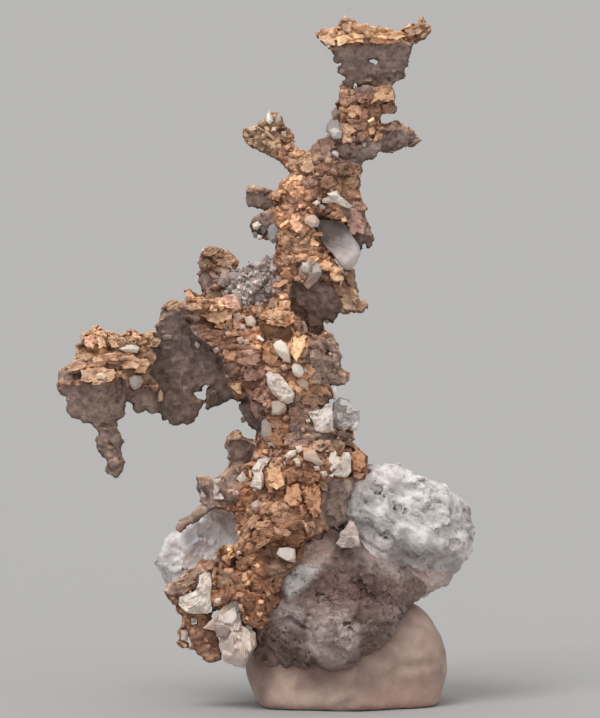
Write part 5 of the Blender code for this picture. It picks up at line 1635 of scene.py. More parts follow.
def lump(xyz, centre, half, turn, rng):
    """A broken crystal: planes round an ellipsoid."""
    X, Y, Z = xyz
    a = math.radians(turn)
    dx, dy, dz = X - centre[0], Y - centre[1], Z - centre[2]
    u = (dx * math.cos(a) + dz * math.sin(a)) / half[0]
    w = (-dx * math.sin(a) + dz * math.cos(a)) / half[2]
    v = dy / half[1]
    size = min(half)
    F = np.sqrt(u * u + v * v + w * w) - 1.08
    for _ in range(11):
        n = rng.normal(size=3)
        n /= np.linalg.norm(n)
        F = smax(F, n[0] * u + n[1] * v + n[2] * w - rng.uniform(0.66, 0.92), 0.06)
    return (F * size).astype(F32)


def grains_of(drawings, rng, field, D):
    """Broken crystals from their drawn outlines."""
    parts = []
    for outline, depth, thick, tint, proud in drawings:
        across, up = rng.uniform(-0.12, 0.12), rng.uniform(-0.02, 0.15)
        if depth is None:
            lie = lie_of(field, D, outline)
            if lie is None:
                continue
            front = lie[0]
            across, up = across + 0.5 * lie[1], up + 0.5 * lie[2]
        else:
            front = depth / SHEET - thick / 2 + proud
        # The front of the rim stands proud; the roof rises a little more.
        broken = 0.35 if proud == 0.20 and depth is not None else 1.0
        verts, tris = crystal(outline, front - proud, proud + thick * 0.6, rng, across, up, 0.12 + 0.35 * proud, broken)
        change = 1 + 0.10 * perlin(verts, 0.9, 45)[:, None] + 0.07 * perlin(verts, 0.35, 46)[:, None]
        stain = np.clip(perlin(verts, 1.2, 47) * 1.6, 0, 0.45)[:, None]
        colour = np.array(tint) * change * (1 - stain * (1 - np.array([1.0, 0.86, 0.76])))
        wear_and_shade = np.tile([0.9, 0.05, rng.random()], (len(verts), 1))
        parts.append((verts, tris, np.clip(colour, 0.01, 0.97), wear_and_shade, np.full(len(tris), True)))
    return parts


def build_calcite(name, rng, copper, D):
    parts = grains_of(CALCITE[name], rng, copper, D)
    if name in LUMPS:
        c, half, turn, tint = LUMPS[name]
        reach = max(half) / SHEET + 0.5
        field = Field(at(*c) - reach, at(*c) + reach, 0.15)
        where, xyz = field.window(at(*c) - reach - 1, at(*c) + reach + 1)
        half = (half[0] / SHEET, half[2] / SHEET, half[1] / SHEET)
        F = lump(xyz, at(*c), half, turn, rng).reshape(field.n)
        band = np.abs(F) < 0.35
        p = field.points(band)
        F[band] += 0.035 * perlin(p, 0.8, 42) + 0.02 * perlin(p, 0.35, 43)
        verts, quads = surface_net(F, field.lo, field.v)
        tris = split_quads(verts, quads)
        verts, tris = largest_parts(verts, tris, 60)
        change = 1 + 0.12 * perlin(verts, 0.9, 45)[:, None] + 0.08 * perlin(verts, 0.3, 46)[:, None]
        stain = np.clip(perlin(verts, 1.4, 47) * 1.8, 0, 0.5)[:, None]
        colour = np.array(tint) * change * (1 - stain * (1 - np.array([1.0, 0.86, 0.74])))
        wear_and_shade = np.tile([0.9, 0.1, 0.5], (len(verts), 1))
        parts.append((verts, tris, np.clip(colour, 0.01, 0.96), wear_and_shade, np.full(len(tris), True)))
    verts, tris, tint, wear_and_shade, soft = join(parts)
    if name == "calcite_cloud":
        # Painted shade: dark at the top, which lies in the copper's shade, and milky at the tip.
        col, row, _ = sheet_of(verts)
        k = np.clip((row - 236 + 0.5 * (col - 336)) / 26, 0, 1)[:, None]
        tint = np.array([0.15, 0.115, 0.10]) * (1 - k) + np.array([0.72, 0.65, 0.62]) * k
        tint *= 1 + 0.12 * perlin(verts, 0.5, 48)[:, None]
    if name == "calcite_crystal_beige":
        # White at the upper left, grey at the upper right, brown at the point; the white and the grey are painted light
        # and shade on the faces turned to and away from the light.
        col, row, _ = sheet_of(verts)
        seen = np.array([0.42, 0.32, 0.265])[None] * (1 + 0.15 * perlin(verts, 0.4, 49)[:, None])
        for tone, mask in (
            ((0.84, 0.76, 0.69), np.clip((310 - col) / 4, 0, 1) * np.clip((270 - row) / 4, 0, 1)),
            ((0.55, 0.47, 0.42), np.clip((col - 310) / 4, 0, 1) * np.clip((276 - row) / 5, 0, 1)),
            ((0.42, 0.28, 0.22), np.clip((row - 278) / 6, 0, 1)),
        ):
            m = (mask * (verts[:, 1] < 0.5))[:, None]
            seen = seen * (1 - m) + np.array(tone) * m
        tint = seen
    return verts, tris, tint, wear_and_shade, soft


# ================================================================== rocks
ROCKS = {
    "matrix_right_lobe": dict(
        strokes=[
            [(378, 506, 20, 36), (405, 510, 24, 42), (430, 522, 26, 38)],
            [(385, 540, 10, 40), (420, 550, 18, 42), (440, 545, 24, 34)],
            [(400, 575, 12, 30), (425, 575, 20, 22)],
            [(395, 515, 60, 38), (420, 540, 60, 36)],
            [(452, 530, 30, 22)],
            [(366, 508, -10, 9), (382, 516, -24, 9), (402, 528, -30, 9), (420, 538, -28, 9), (436, 548, -18, 9)],
            [(372, 486, -6, 14), (388, 478, -6, 14), (402, 482, -4, 12)],
            [(360, 490, -12, 13), (357, 514, -12, 13), (362, 538, -10, 13)],
            [(372, 552, -8, 14), (392, 560, -6, 12)],
        ],
        outline=[(345, 506), (352, 480), (362, 473), (370, 470), (380, 467), (390, 466), (400, 468), (407, 472),
                 (412, 478), (425, 481), (440, 484), (450, 488), (458, 491), (462, 497), (465, 503), (468, 515),
                 (473, 520), (476, 527), (474, 535), (470, 548), (467, 556), (461, 568), (458, 572), (452, 578),
                 (446, 583), (440, 586), (432, 594), (424, 602), (405, 608), (380, 605), (350, 590), (340, 560),
                 (340, 530)],
    ),
    "matrix_left_lobe": dict(
        strokes=[
            [(222, 532, 30, 28), (200, 546, 30, 32), (178, 560, 26, 26)],
            [(232, 560, 30, 32), (208, 575, 30, 30), (186, 582, 20, 20)],
            [(250, 590, 30, 30), (270, 620, 40, 34)],
            [(240, 535, 44, 24), (262, 560, 40, 30)],
            [(214, 516, 6, 8), (196, 530, 2, 8), (182, 545, 4, 8)],
        ],
        outline=[(212, 505), (222, 504), (240, 512), (262, 530), (290, 560), (300, 620), (270, 650), (240, 640),
                 (205, 614), (190, 609), (180, 602), (172, 592), (167, 582), (164, 577), (160, 570), (156, 562),
                 (159, 556), (164, 551), (168, 543), (176, 534), (190, 523), (200, 514)],
    ),
    "matrix_core": dict(
        strokes=[
            [(300, 585, -30, 36), (340, 580, -20, 44), (378, 590, -10, 36)],
            [(292, 620, -34, 34), (330, 628, -40, 42), (370, 618, -22, 38)],
            [(280, 640, -20, 30), (318, 648, -38, 24)],
            [(345, 560, 20, 40), (300, 600, 30, 40)],
            [(360, 560, -10, 34), (400, 585, 0, 26), (424, 590, 6, 14)],
            [(326, 640, -62, 22), (344, 630, -58, 22), (318, 616, -58, 18)],
            [(300, 545, -40, 20), (322, 548, -36, 22)],
            [(286, 575, -58, 8), (300, 566, -56, 9), (314, 560, -50, 9)],
            [(284, 612, -52, 12), (296, 604, -52, 12)],
            [(334, 632, -58, 20), (342, 646, -56, 18)],
        ],
        outline=[(262, 672), (245, 662), (240, 645), (258, 628), (270, 612), (280, 596), (283, 572), (300, 548),
                 (320, 528), (345, 526), (362, 545), (378, 560), (405, 562), (424, 570), (430, 580), (424, 592),
                 (415, 604), (402, 618), (385, 640), (365, 662), (342, 673), (328, 671), (314, 662), (300, 668),
                 (282, 676)],
    ),
    "pale_foot": dict(
        strokes=[
            [(300, 676, 8, 56), (340, 672, 10, 62), (384, 664, 18, 66)],
            [(296, 704, -4, 50), (345, 716, -4, 60), (392, 702, 8, 52)],
            [(388, 648, 45, 46), (350, 640, 50, 44)],
            [(300, 690, 56, 44), (360, 700, 72, 50), (400, 690, 58, 40)],
        ],
        outline=[(262, 712), (251, 692), (240, 676), (236, 662), (242, 640), (300, 610), (350, 600), (400, 596),
                 (424, 598), (436, 617), (445, 634), (450, 650), (451, 668), (449, 684), (445, 700), (441, 712)],
    ),
}


def build_rock(name):
    spec = ROCKS[name]
    strokes = spec["strokes"]
    lo, hi = shape_box(strokes, [])
    field = Field(lo + REACH - 0.6, hi - REACH + 0.6, 0.28 if name == "pale_foot" else 0.195)
    where, d = shape_distance(field, strokes, [], 0.7)
    D = np.full(field.n, 9.0, F32)
    D[where] = d
    D = smax(D, drawn(field, [spec["outline"]]), 0.45 if name != "pale_foot" else 1.2)
    if name == "pale_foot":
        # The folds at the lower right, which the finger's side of the photo shows.
        xyz = (
            (field.lo[0] + field.v * np.arange(field.n[0]))[:, None, None],
            (field.lo[1] + field.v * np.arange(field.n[1]))[None, :, None],
            (field.lo[2] + field.v * np.arange(field.n[2]))[None, None, :],
        )
        for a, b in (((338, 708, -64), (362, 696, -62)), ((362, 696, -62), (380, 700, -56)),
                     ((360, 690, -60), (405, 668, -48)), ((405, 668, -48), (440, 664, -26))):
            D = smax(D, -capsule(xyz, at(*a), at(*b), 0.32, 0.28, (1, 1, 1)), 0.5)
    band = np.abs(D) < 0.9
    p = field.points(band)
    if name == "pale_foot":
        move = 0.22 * perlin(p, 3.6, 51) + 0.09 * perlin(p, 1.3, 52) + 0.035 * fbm(p, 0.5, 2, 53)
    else:
        big, _, _ = facets(p, 1.9, 0.30, 0.22, 54)
        # The lobes' ridges run down to the right.
        along = 0.86 * p[:, 0] - 0.5 * p[:, 2]
        across = 0.5 * p[:, 0] + 0.86 * p[:, 2]
        bent = np.stack([along / 2.4, p[:, 1] * 0.8, across], axis=1)
        soft = 0.6 if name == "matrix_left_lobe" else 1.0
        mid, gap, _ = facets(bent, 0.8, 0.34, 0.12, 55)
        ridged = 0.13 * (1 - 2.2 * np.abs(fbm(bent, 1.5, 3, 56)))
        sheer = np.abs(perlin(p, 1.1, 66) + 0.5 * perlin(p, 0.5, 67))
        open_crack = np.clip(1 - sheer / 0.06, 0, 1) * np.clip(0.5 + 2.2 * perlin(p, 2.4, 68), 0, 1)
        move = 0.30 * perlin(p, 3.0, 57) + 0.9 * big + mid * soft - ridged + 0.26 * open_crack
        move += 0.07 * np.clip(1 - gap / 0.2, 0, 1) + 0.05 * perlin(p, 0.45, 58)
        f1, f2, who, _ = cells(p, 1.0, 59)
        share = {"matrix_right_lobe": 0.30, "matrix_left_lobe": 0.12}.get(name, 0.10)
        pit = (RAND[who, 2] < share) * np.clip(0.32 - f1, 0, 1) * 1.0
        move += pit
        if name == "matrix_core":
            small, _, _ = facets(p, 0.42, 0.5, 0.08, 60)
            move += 0.8 * small
        else:
            small, _, _ = facets(p, 0.42, 0.5, 0.07, 60)
            move += 0.7 * small
        col, row, depth = sheet_of(p)
        if name == "matrix_right_lobe":
            # A white vein runs down across the front, and stands proud and smooth.
            near = polygon_distance(col, row, [(362, 503), (378, 507), (396, 518), (414, 528), (440, 542),
                                               (442, 553), (424, 550), (400, 540), (382, 528), (366, 516)]) / SHEET
            vein = np.clip(0.5 - near / 0.5, 0, 1) * frontness(p)
            move = move * (1 - 0.4 * vein) - 0.16 * vein
        move *= 0.85
    D[band] += move
    for axis in range(3):
        for end in (0, -1):
            face = [slice(None)] * 3
            face[axis] = end
            D[tuple(face)] = np.maximum(D[tuple(face)], 0.02)
    if name == "pale_foot":
        z = field.lo[2] + field.v * np.arange(field.n[2])
        D = np.maximum(D, -(z[None, None, :]))
    verts, quads = surface_net(D, field.lo, field.v)
    tris = split_quads(verts, quads)
    verts, tris = largest_parts(verts, tris, 400)
    n = vertex_normals(verts, tris)
    open_ = np.zeros(len(verts))
    for h in (0.4, 0.9, 1.8):
        open_ += np.clip(field.sample(verts + n * h, D) / h, -0.3, 1.2)
    open_ = np.clip(open_ / 3, 0, 1.2)
    # Less painted shade in the left lobe's hollows.
    if name == "matrix_left_lobe":
        open_ = 0.6 + 0.4 * open_
    col, row, depth = sheet_of(verts)
    front = frontness(verts, n)

    def patch(loop, soft=0.6):
        return np.clip(0.5 - polygon_distance(col, row, loop) / SHEET / soft, 0, 1) * front

    a = fbm(verts, 2.8, 3, 71)
    b = fbm(verts, 1.1, 3, 72)
    m = np.clip(0.5 + 1.3 * a + 0.7 * b, 0, 1)[:, None]
    if name == "matrix_right_lobe":
        colour = np.array([0.48, 0.45, 0.44]) * (1 - m) + np.array([0.90, 0.86, 0.84]) * m
        speck = np.clip((fbm(verts, 0.6, 2, 73) - 0.18) * 5, 0, 1)[:, None]
        colour = colour * (1 - 0.55 * speck) + np.array([0.22, 0.19, 0.19]) * 0.55 * speck
        for loop, tint, amount in (
            ([(362, 503), (378, 507), (396, 518), (414, 528), (440, 542), (442, 553), (424, 550), (400, 540),
              (382, 528), (366, 516)], (0.82, 0.79, 0.77), 0.9),
            ([(350, 484), (366, 472), (392, 467), (408, 474), (404, 488), (386, 492), (366, 498), (352, 500)],
             (0.86, 0.80, 0.79), 0.75),
            ([(385, 508), (400, 508), (404, 520), (392, 526), (382, 518)], (0.30, 0.29, 0.30), 0.7),
            ([(380, 545), (400, 545), (420, 556), (432, 568), (420, 578), (398, 568)], (0.40, 0.34, 0.33), 0.5),
            ([(426, 550), (466, 540), (470, 560), (450, 582), (424, 578)], (0.36, 0.30, 0.29), 0.6),
            ([(350, 545), (380, 560), (420, 570), (450, 575), (440, 590), (420, 606), (380, 600), (350, 590)],
             (0.76, 0.56, 0.50), 0.70),
        ):
            w = (amount * patch(loop))[:, None]
            colour = colour * (1 - w) + np.array(tint) * w
    elif name == "matrix_left_lobe":
        colour = np.array([0.56, 0.54, 0.56]) * (1 - m) + np.array([0.92, 0.88, 0.87]) * m
        # Painted light: the inner part is lightened against the shade that the copper casts on it.
        colour *= 1 + 0.9 * np.clip((col - 190) / 20, 0, 1)[:, None] * (verts[:, 1] < 4.0)[:, None]
        for loop, tint, amount in (
            ([(160, 560), (176, 566), (186, 578), (180, 592), (166, 580)], (0.72, 0.69, 0.67), 0.6),
            ([(205, 512), (232, 512), (236, 540), (222, 552), (214, 530)], (0.66, 0.65, 0.68), 0.5),
            ([(190, 535), (208, 530), (216, 548), (200, 560), (186, 552)], (0.40, 0.39, 0.43), 0.5),
        ):
            w = (amount * patch(loop))[:, None]
            colour = colour * (1 - w) + np.array(tint) * w
    elif name == "matrix_core":
        colour = np.array([0.15, 0.092, 0.078]) * (1 - m) + np.array([0.255, 0.172, 0.150]) * m
        speck = np.clip((fbm(verts, 0.5, 2, 73) - 0.14) * 5, 0, 1)[:, None]
        colour = colour * (1 - 0.5 * speck) + np.array([0.42, 0.345, 0.32]) * 0.5 * speck
        for loop, tint, amount in (
            ([(308, 618), (320, 610), (342, 612), (360, 622), (358, 650), (338, 668), (318, 662), (306, 645)],
             (0.52, 0.42, 0.39), 0.6),
            ([(282, 588), (286, 575), (302, 564), (320, 555), (326, 562), (314, 574), (302, 588), (290, 596)],
             (0.78, 0.74, 0.71), 0.9),
            ([(304, 545), (318, 536), (332, 542), (330, 562), (312, 566), (300, 560)], (0.68, 0.47, 0.41), 0.75),
            ([(276, 604), (292, 598), (304, 606), (302, 624), (286, 634), (274, 626)], (0.34, 0.285, 0.275), 0.7),
            ([(246, 640), (262, 632), (284, 640), (280, 664), (262, 672), (248, 662)], (0.25, 0.155, 0.142), 0.7),
            ([(330, 568), (366, 566), (392, 580), (380, 612), (340, 606), (322, 590)], (0.18, 0.10, 0.09), 0.7),
            ([(352, 548), (390, 556), (424, 570), (400, 582), (370, 572)], (0.45, 0.36, 0.33), 0.7),
            ([(286, 628), (302, 626), (308, 648), (304, 668), (284, 672), (278, 650)], (0.15, 0.10, 0.09), 0.6),
        ):
            w = (amount * patch(loop))[:, None]
            colour = colour * (1 - w) + np.array(tint) * w
    else:
        colour = np.array([0.36, 0.245, 0.203]) * (1 - m) + np.array([0.49, 0.352, 0.292]) * m
        # Painted shade: the reddish patch at the lower right and the dark band along the top, under the core, stand for
        # shade on the stone.
        for loop, tint, amount in (
            ([(338, 718), (346, 704), (366, 693), (396, 682), (420, 672), (434, 676), (430, 718)],
             (0.46, 0.29, 0.245), 0.7),
            ([(262, 690), (300, 694), (350, 690), (362, 690), (340, 718), (270, 718)], (0.50, 0.37, 0.31), 0.55),
            ([(300, 664), (340, 672), (392, 640), (420, 606), (400, 600), (340, 640), (260, 660), (262, 676)],
             (0.27, 0.175, 0.150), 0.75),
        ):
            w = (amount * patch(loop, 1.6))[:, None]
            colour = colour * (1 - w) + np.array(tint) * w
        stain = np.clip((fbm(verts, 0.7, 2, 75) - 0.2) * 3, 0, 1)[:, None]
        colour = colour * (1 - 0.25 * stain) + np.array([0.24, 0.17, 0.15]) * 0.25 * stain
    # Openness and its inverse; from the inverse the rock's material paints shade in the hollows.
    wear_and_shade = np.stack([open_, np.clip(1 - open_, 0, 1), RAND[:, 1][np.arange(len(verts)) % TABLE]], axis=1)
    return verts, tris, np.clip(colour, 0.01, 0.95), wear_and_shade


# =============================================================== assembly
def front_of(field, D, cols, rows):
    """How far back the first copper lies behind each sheet point, in millimetres; NaN where there is none."""
    y = np.arange(-8.5, 7.0, 0.1)
    cols, rows = np.asarray(cols, float), np.asarray(rows, float)
    p = np.empty((len(cols), len(y), 3))
    p[:, :, 0] = ((cols - COL0) / SHEET)[:, None]
    p[:, :, 1] = y[None]
    p[:, :, 2] = ((ROW0 - rows) / SHEET)[:, None] - LEAN * y[None]
    hit = field.sample(p.reshape(-1, 3), D).reshape(len(cols), len(y)) < 0
    return np.where(hit.any(axis=1), y[hit.argmax(axis=1)], np.nan)


def lie_of(field, D, outline):
    """The plane that best follows the copper's front inside an outline: depth, and its slopes across and up."""
    pts = np.array(outline, float)
    mid = pts.mean(axis=0)
    spots = np.vstack([mid + (pts - mid) * k for k in (0.0, 0.4, 0.75)])
    y = front_of(field, D, spots[:, 0], spots[:, 1])
    ok = ~np.isnan(y)
    if ok.sum() < 4:
        return None
    u, w, y = (spots[ok, 0] - mid[0]) / SHEET, (mid[1] - spots[ok, 1]) / SHEET, y[ok]
    near = np.abs(y - np.median(y)) < 0.9
    u, w, y = u[near], w[near], y[near]
    A = np.stack([np.ones(len(u)), u, w], axis=1)
    fit = np.linalg.solve(A.T @ A + np.diag([0, 0.25, 0.25]), A.T @ y)
    return float(fit[0]), float(np.clip(fit[1], -0.8, 0.8)), float(np.clip(fit[2], -0.8, 0.8))


def drawn_ring(outline, step):
    """The corners of an outline and points between them, in millimetres about its middle, anticlockwise."""
    pts = np.array(outline, float)
    mid = pts.mean(axis=0)
    ring = []
    for a, b in zip(pts, np.roll(pts, -1, axis=0)):
        parts = max(1, int(round(np.linalg.norm(b - a) / SHEET / step)))
        ring += [a + (b - a) * i / parts for i in range(parts)]
    ring = np.array(ring)
    flat = np.stack([(ring[:, 0] - mid[0]) / SHEET, (mid[1] - ring[:, 1]) / SHEET], axis=1)
    area = np.sum(flat[:, 0] * np.roll(flat[:, 1], -1) - np.roll(flat[:, 0], -1) * flat[:, 1])
    return mid, flat[::-1] if area < 0 else flat


def stacked(mid, rings, back, front, depth, across, up):
    """Rings of points from the back to the front, capped at both ends, as points and triangles."""
    count = len(rings[0])
    verts = np.vstack(rings + [[back], [front]])
    nxt = (np.arange(count) + 1) % count
    tris = []
    for level in range(len(rings) - 1):
        a, b = level * count + np.arange(count), level * count + nxt
        c, d = a + count, b + count
        tris += [np.stack([a, b, d], axis=1), np.stack([a, d, c], axis=1)]
    last = (len(rings) - 1) * count
    rear, tip = len(rings) * count, len(rings) * count + 1
    tris.append(np.stack([np.full(count, rear), nxt, np.arange(count)], axis=1))
    tris.append(np.stack([np.full(count, tip), last + np.arange(count), last + nxt], axis=1))
    y = depth + verts[:, 2] + across * verts[:, 0] + up * verts[:, 1]
    x = (mid[0] - COL0) / SHEET + verts[:, 0]
    z = (ROW0 - mid[1]) / SHEET + verts[:, 1] - LEAN * y
    return np.stack([x, y, z], axis=1), np.vstack(tris)


def slab(outline, depth, across, up, thick, rng, bevel=0.08, jag=0.09):
    """A closed flake with a drawn, toothed outline and an uneven front at a depth in millimetres."""
    mid, flat = drawn_ring(outline, 0.21)
    count = len(flat)
    flat = flat * (1 + rng.normal(0, jag, (count, 1))) + rng.normal(0, 0.03, (count, 2))
    reach = np.linalg.norm(flat, axis=1, keepdims=True)
    rings = [np.column_stack([flat * 0.86, np.full(count, thick)]), np.column_stack([flat, np.full(count, bevel)])]
    seed = int(rng.integers(1000, 9000))
    for scale in (np.clip(1 - bevel / np.maximum(reach, 0.12), 0.4, 1), 0.74, 0.52, 0.28):
        xy = flat * scale
        q = np.column_stack([xy, np.zeros(count)])
        high = 0.14 * perlin(q, 0.75, seed) + 0.07 * perlin(q, 0.33, seed + 1) + rng.normal(0, 0.016, count)
        high += facets(q, 0.6, 0.30, 0.09, seed)[0]
        rings.append(np.column_stack([xy, high]))
    return stacked(mid, rings, [0, 0, thick], [0, 0, float(rings[-1][:, 2].mean())], depth, across, up)


def crystal(outline, depth, thick, rng, across=0.0, up=0.0, high=0.30, broken=1.0):
    """A closed broken crystal: a drawn outline, and a front of a few flat faces."""
    mid, flat = drawn_ring(outline, 0.24)
    count = len(flat)
    flat = flat + rng.normal(0, 0.018, (count, 2))
    planes = []
    turn = rng.uniform(0, 6.28)
    for k in range(5):
        a = turn + k * 1.2566 + rng.uniform(-0.35, 0.35)
        way = np.array([math.cos(a), math.sin(a)])
        planes.append((way, float((flat @ way).max()) * rng.uniform(0.86, 1.02), rng.uniform(0.5, 1.4)))
    rest = np.array([rng.uniform(-0.22, 0.22), rng.uniform(-0.35, 0.0)])
    seed = int(rng.integers(1000, 9000))
    far = np.column_stack([flat, np.full(count, 3.0)])
    waist = 0.90 + 0.16 * perlin(far, 0.8, seed + 2)[:, None]
    rings = [np.column_stack([flat * 0.60, np.full(count, thick)]),
             np.column_stack([flat * waist, 0.3 + 0.55 * (thick - 0.3) + 0.18 * perlin(far, 0.5, seed + 3)]),
             np.column_stack([flat, np.full(count, 0.30)]), np.column_stack([flat * 0.975, np.full(count, 0.06)])]
    large = np.linalg.norm(flat, axis=1).mean() > 0.85
    if large:
        for _ in range(3):
            a = rng.uniform(0, 6.28)
            way = np.array([math.cos(a), math.sin(a)])
            planes.append((way, float((flat @ way).max()) * rng.uniform(0.4, 0.8) + 0.35, rng.uniform(0.3, 0.7)))
    for scale in (0.92, 0.84, 0.75, 0.66, 0.56, 0.46, 0.36, 0.26, 0.13) if large else (0.86, 0.70, 0.52, 0.34, 0.15):
        xy = flat * scale
        roof = high + xy @ rest
        for way, reach, slope in planes:
            roof = np.minimum(roof, slope * (reach - xy @ way))
        flat3 = np.column_stack([xy, np.zeros(count)])
        roof = np.maximum(roof, -0.04) + 0.04 * perlin(flat3, 0.33, seed)
        if large:
            roof += broken * (facets(flat3, 0.75, 0.34, 0.12, seed)[0] + facets(flat3, 0.35, 0.30, 0.03, seed)[0])
        rings.append(np.column_stack([xy, -roof]))
    return stacked(mid, rings, [0, 0, thick], [0, 0, float(rings[-1][:, 2].mean())], depth, across, up)


def crevice_shade(points, outlines, width=0.12):
    """1 in the narrow strip just outside any of the outlines, where shade is painted, 0 away from them."""
    col, row, _ = sheet_of(points)
    seam_shade = np.zeros(len(points))
    for outline in outlines:
        pts = np.array(outline, float)
        near = np.flatnonzero((col > pts[:, 0].min() - 4) & (col < pts[:, 0].max() + 4)
                              & (row > pts[:, 1].min() - 4) & (row < pts[:, 1].max() + 4))
        if len(near):
            d = polygon_distance(col[near], row[near], outline) / SHEET
            seam_shade[near] = np.maximum(seam_shade[near], np.clip(1.4 - np.maximum(d, 0) / width, 0, 1))
    return seam_shade


def slabs_on(name, field, D, label, number, rng):
    """The drawn flakes whose middle lies on this piece of copper."""
    lean = {GOLD: 0.50, TAN: 0.34, AMBER: 0.45, LILAC: 0.0, RUST: -0.12, ORANGE: 0.15, BROWN: -0.12, UMBER: -0.30, PURPLE: -0.25, PINK: 0.05, OLIVE: 0.0}
    parts = []
    for outline, tint, gain, lift in SLABS:
        lie = lie_of(field, D, outline)
        if lie is None:
            continue
        depth, across, up = lie
        mid = np.array(outline, float).mean(axis=0)
        probe = at(mid[0], mid[1], (depth + 0.2) * SHEET)[None]
        if field.sample(probe, label)[0] != number:
            continue
        across = 0.7 * across + rng.normal(0, 0.12)
        up = 0.6 * up + lean[tint] + rng.normal(0, 0.08)
        verts, tris = slab(outline, depth - lift, across, up, lift + 0.45, rng)
        local = copper_tint(verts, np.tile([0.0, -1.0, 0.0], (len(verts), 1)))
        colour = 0.72 * np.array(tint) * gain + 0.28 * local
        colour *= 1 + 0.30 * perlin(verts, 0.55, 61)[:, None] + 0.16 * perlin(verts, 0.25, 62)[:, None]
        colour = colour * np.exp(rng.normal(0, 0.04))
        colour = colour / np.maximum(colour.max(axis=1, keepdims=True) / 0.82, 1)
        wear_and_shade = np.tile([0.8, 0.1, rng.random()], (len(verts), 1))
        parts.append((verts, tris, colour, wear_and_shade, np.full(len(tris), True)))
    return parts


# Where the chips differ: columns and rows; the share of plates, pebbles and
# splinters; the plates' size in millimetres; how many stand on a square millimetre.
CHIPS = [
    ((0, 600, 0, 205), (0.40, 0.30, 0.30), 0.28, 1.5),
    ((250, 600, 205, 430), (0.55, 0.03, 0.42), 0.36, 1.7),
    ((0, 250, 205, 434), (0.60, 0.22, 0.18), 0.34, 1.1),
    ((0, 600, 430, 720), (0.55, 0.03, 0.42), 0.36, 1.2),
]


def chips_on(name, verts, tris, protos, rng, field, D, first, second, edge_map):
    """Flat chips, pebbles and splinters lying on the skin of one piece of copper."""
    parts = []
    cross = np.cross(verts[tris[:, 1]] - verts[tris[:, 0]], verts[tris[:, 2]] - verts[tris[:, 0]])
    area = float(np.linalg.norm(cross, axis=1).sum() / 2)
    p, normal, _ = scatter(verts, tris, int(area * 2.2), rng)
    col, row, depth = sheet_of(p)
    chosen = np.abs(field.sample(p, first) - field.sample(p, second)) > 0.06
    front = p[:, 1] < 0.6
    for loop, amount in [(r[0], 0.97) for r in RECEDING] + [(q[0], min(0.95, 1.4 * q[1])) for q in QUIET]:
        near = polygon_distance(col, row, loop) < 2
        chosen &= ~(near & front & (rng.random(len(p)) < amount))
    for loop in HOLES:
        chosen &= polygon_distance(col, row, loop) > 9
    seen = frontness(p, normal) > 0.3
    for drawings in CALCITE.values():
        for outline, *_ in drawings:
            chosen &= ~(seen & (polygon_distance(col, row, outline) < -1))
    for outline, *_ in SLABS + PEBBLES:
        chosen &= ~(seen & (polygon_distance(col, row, outline) < 0.5))
    for (c0, c1, r0, r1), shares, middle, crowd in CHIPS:
        here = chosen & (col >= c0) & (col < c1) & (row >= r0) & (row < r1)
        here &= rng.random(len(p)) < crowd / 2.2 * np.clip(1.0 - 0.3 * (p[:, 1] - 1.0), 0.62, 1.0)
        if not here.any():
            continue
        q, n = p[here], normal[here]
        count = len(q)
        inset = -edge_map(q)
        kinds = rng.choice(3, count, p=shares)
        size = rng.lognormal(math.log(middle), 0.38, count) * np.array([1.0, 0.80, 0.52])[kinds]
        size = np.minimum(size, np.array([1.05, 0.5, 0.3])[kinds])
        size = np.minimum(size, 0.07 + 0.85 * np.maximum(inset, 0))
        base = copper_tint(q, n)
        o = openness(field, D, q + n * 0.05, n)
        shade = np.exp(rng.normal(0.02, 0.24, count)) * (0.82 + 0.24 * np.clip(o, 0, 1))
        base = base * shade[:, None]
        # Painted glints: a few chips are coloured bright gold.
        glint = rng.random(count) < 0.012
        base[glint] = np.array([0.90, 0.68, 0.42])
        rosy = rng.random(count) < 0.05
        base[rosy] = base[rosy] * 0.65 + np.array(PINK) * 0.35
        w = np.stack([o, np.clip(0.8 - o, 0, 1) * 0.5, rng.random(count)], axis=1)
        w[glint] = (1.1, 0.0, 0.0)
        for number, kind, tilt, sink in ((0, "plate", 0.26, 0.04), (1, "pebble", 0.40, 0.10), (2, "chip", 0.55, 0.12)):
            k = kinds == number
            if not k.any():
                continue
            lay = np.broadcast_to(np.array([0.0, 0.0, 1.0]), (int(k.sum()), 3))
            rot = frames(n[k], rng, tilt, lay)
            s = size[k][:, None] * rng.uniform(0.85, 1.2, (k.sum(), 3))
            if kind == "plate":
                s[:, 0] *= 1.25
                s[:, 2] = 0.05 + 0.85 * s[:, 2]
            place = q[k] + n[k] * (size[k] * sink)[:, None]
            parts.append(grow_crystals(protos, kind, rng.integers(0, 9999, k.sum()), place, rot, s,
                                       np.clip(base[k], 0.01, 0.97), w[k]))
    return parts


def outline_map():
    columns, rows = np.arange(50, 440), np.arange(8, 680)
    flat = sheet_map(SILHOUETTE, columns, rows)

    def look(points):
        col, row, _ = sheet_of(points)
        i = np.clip(np.rint(col).astype(int) - 50, 0, len(columns) - 1)
        j = np.clip(np.rint(row).astype(int) - 8, 0, len(rows) - 1)
        return flat[i, j]

    return look


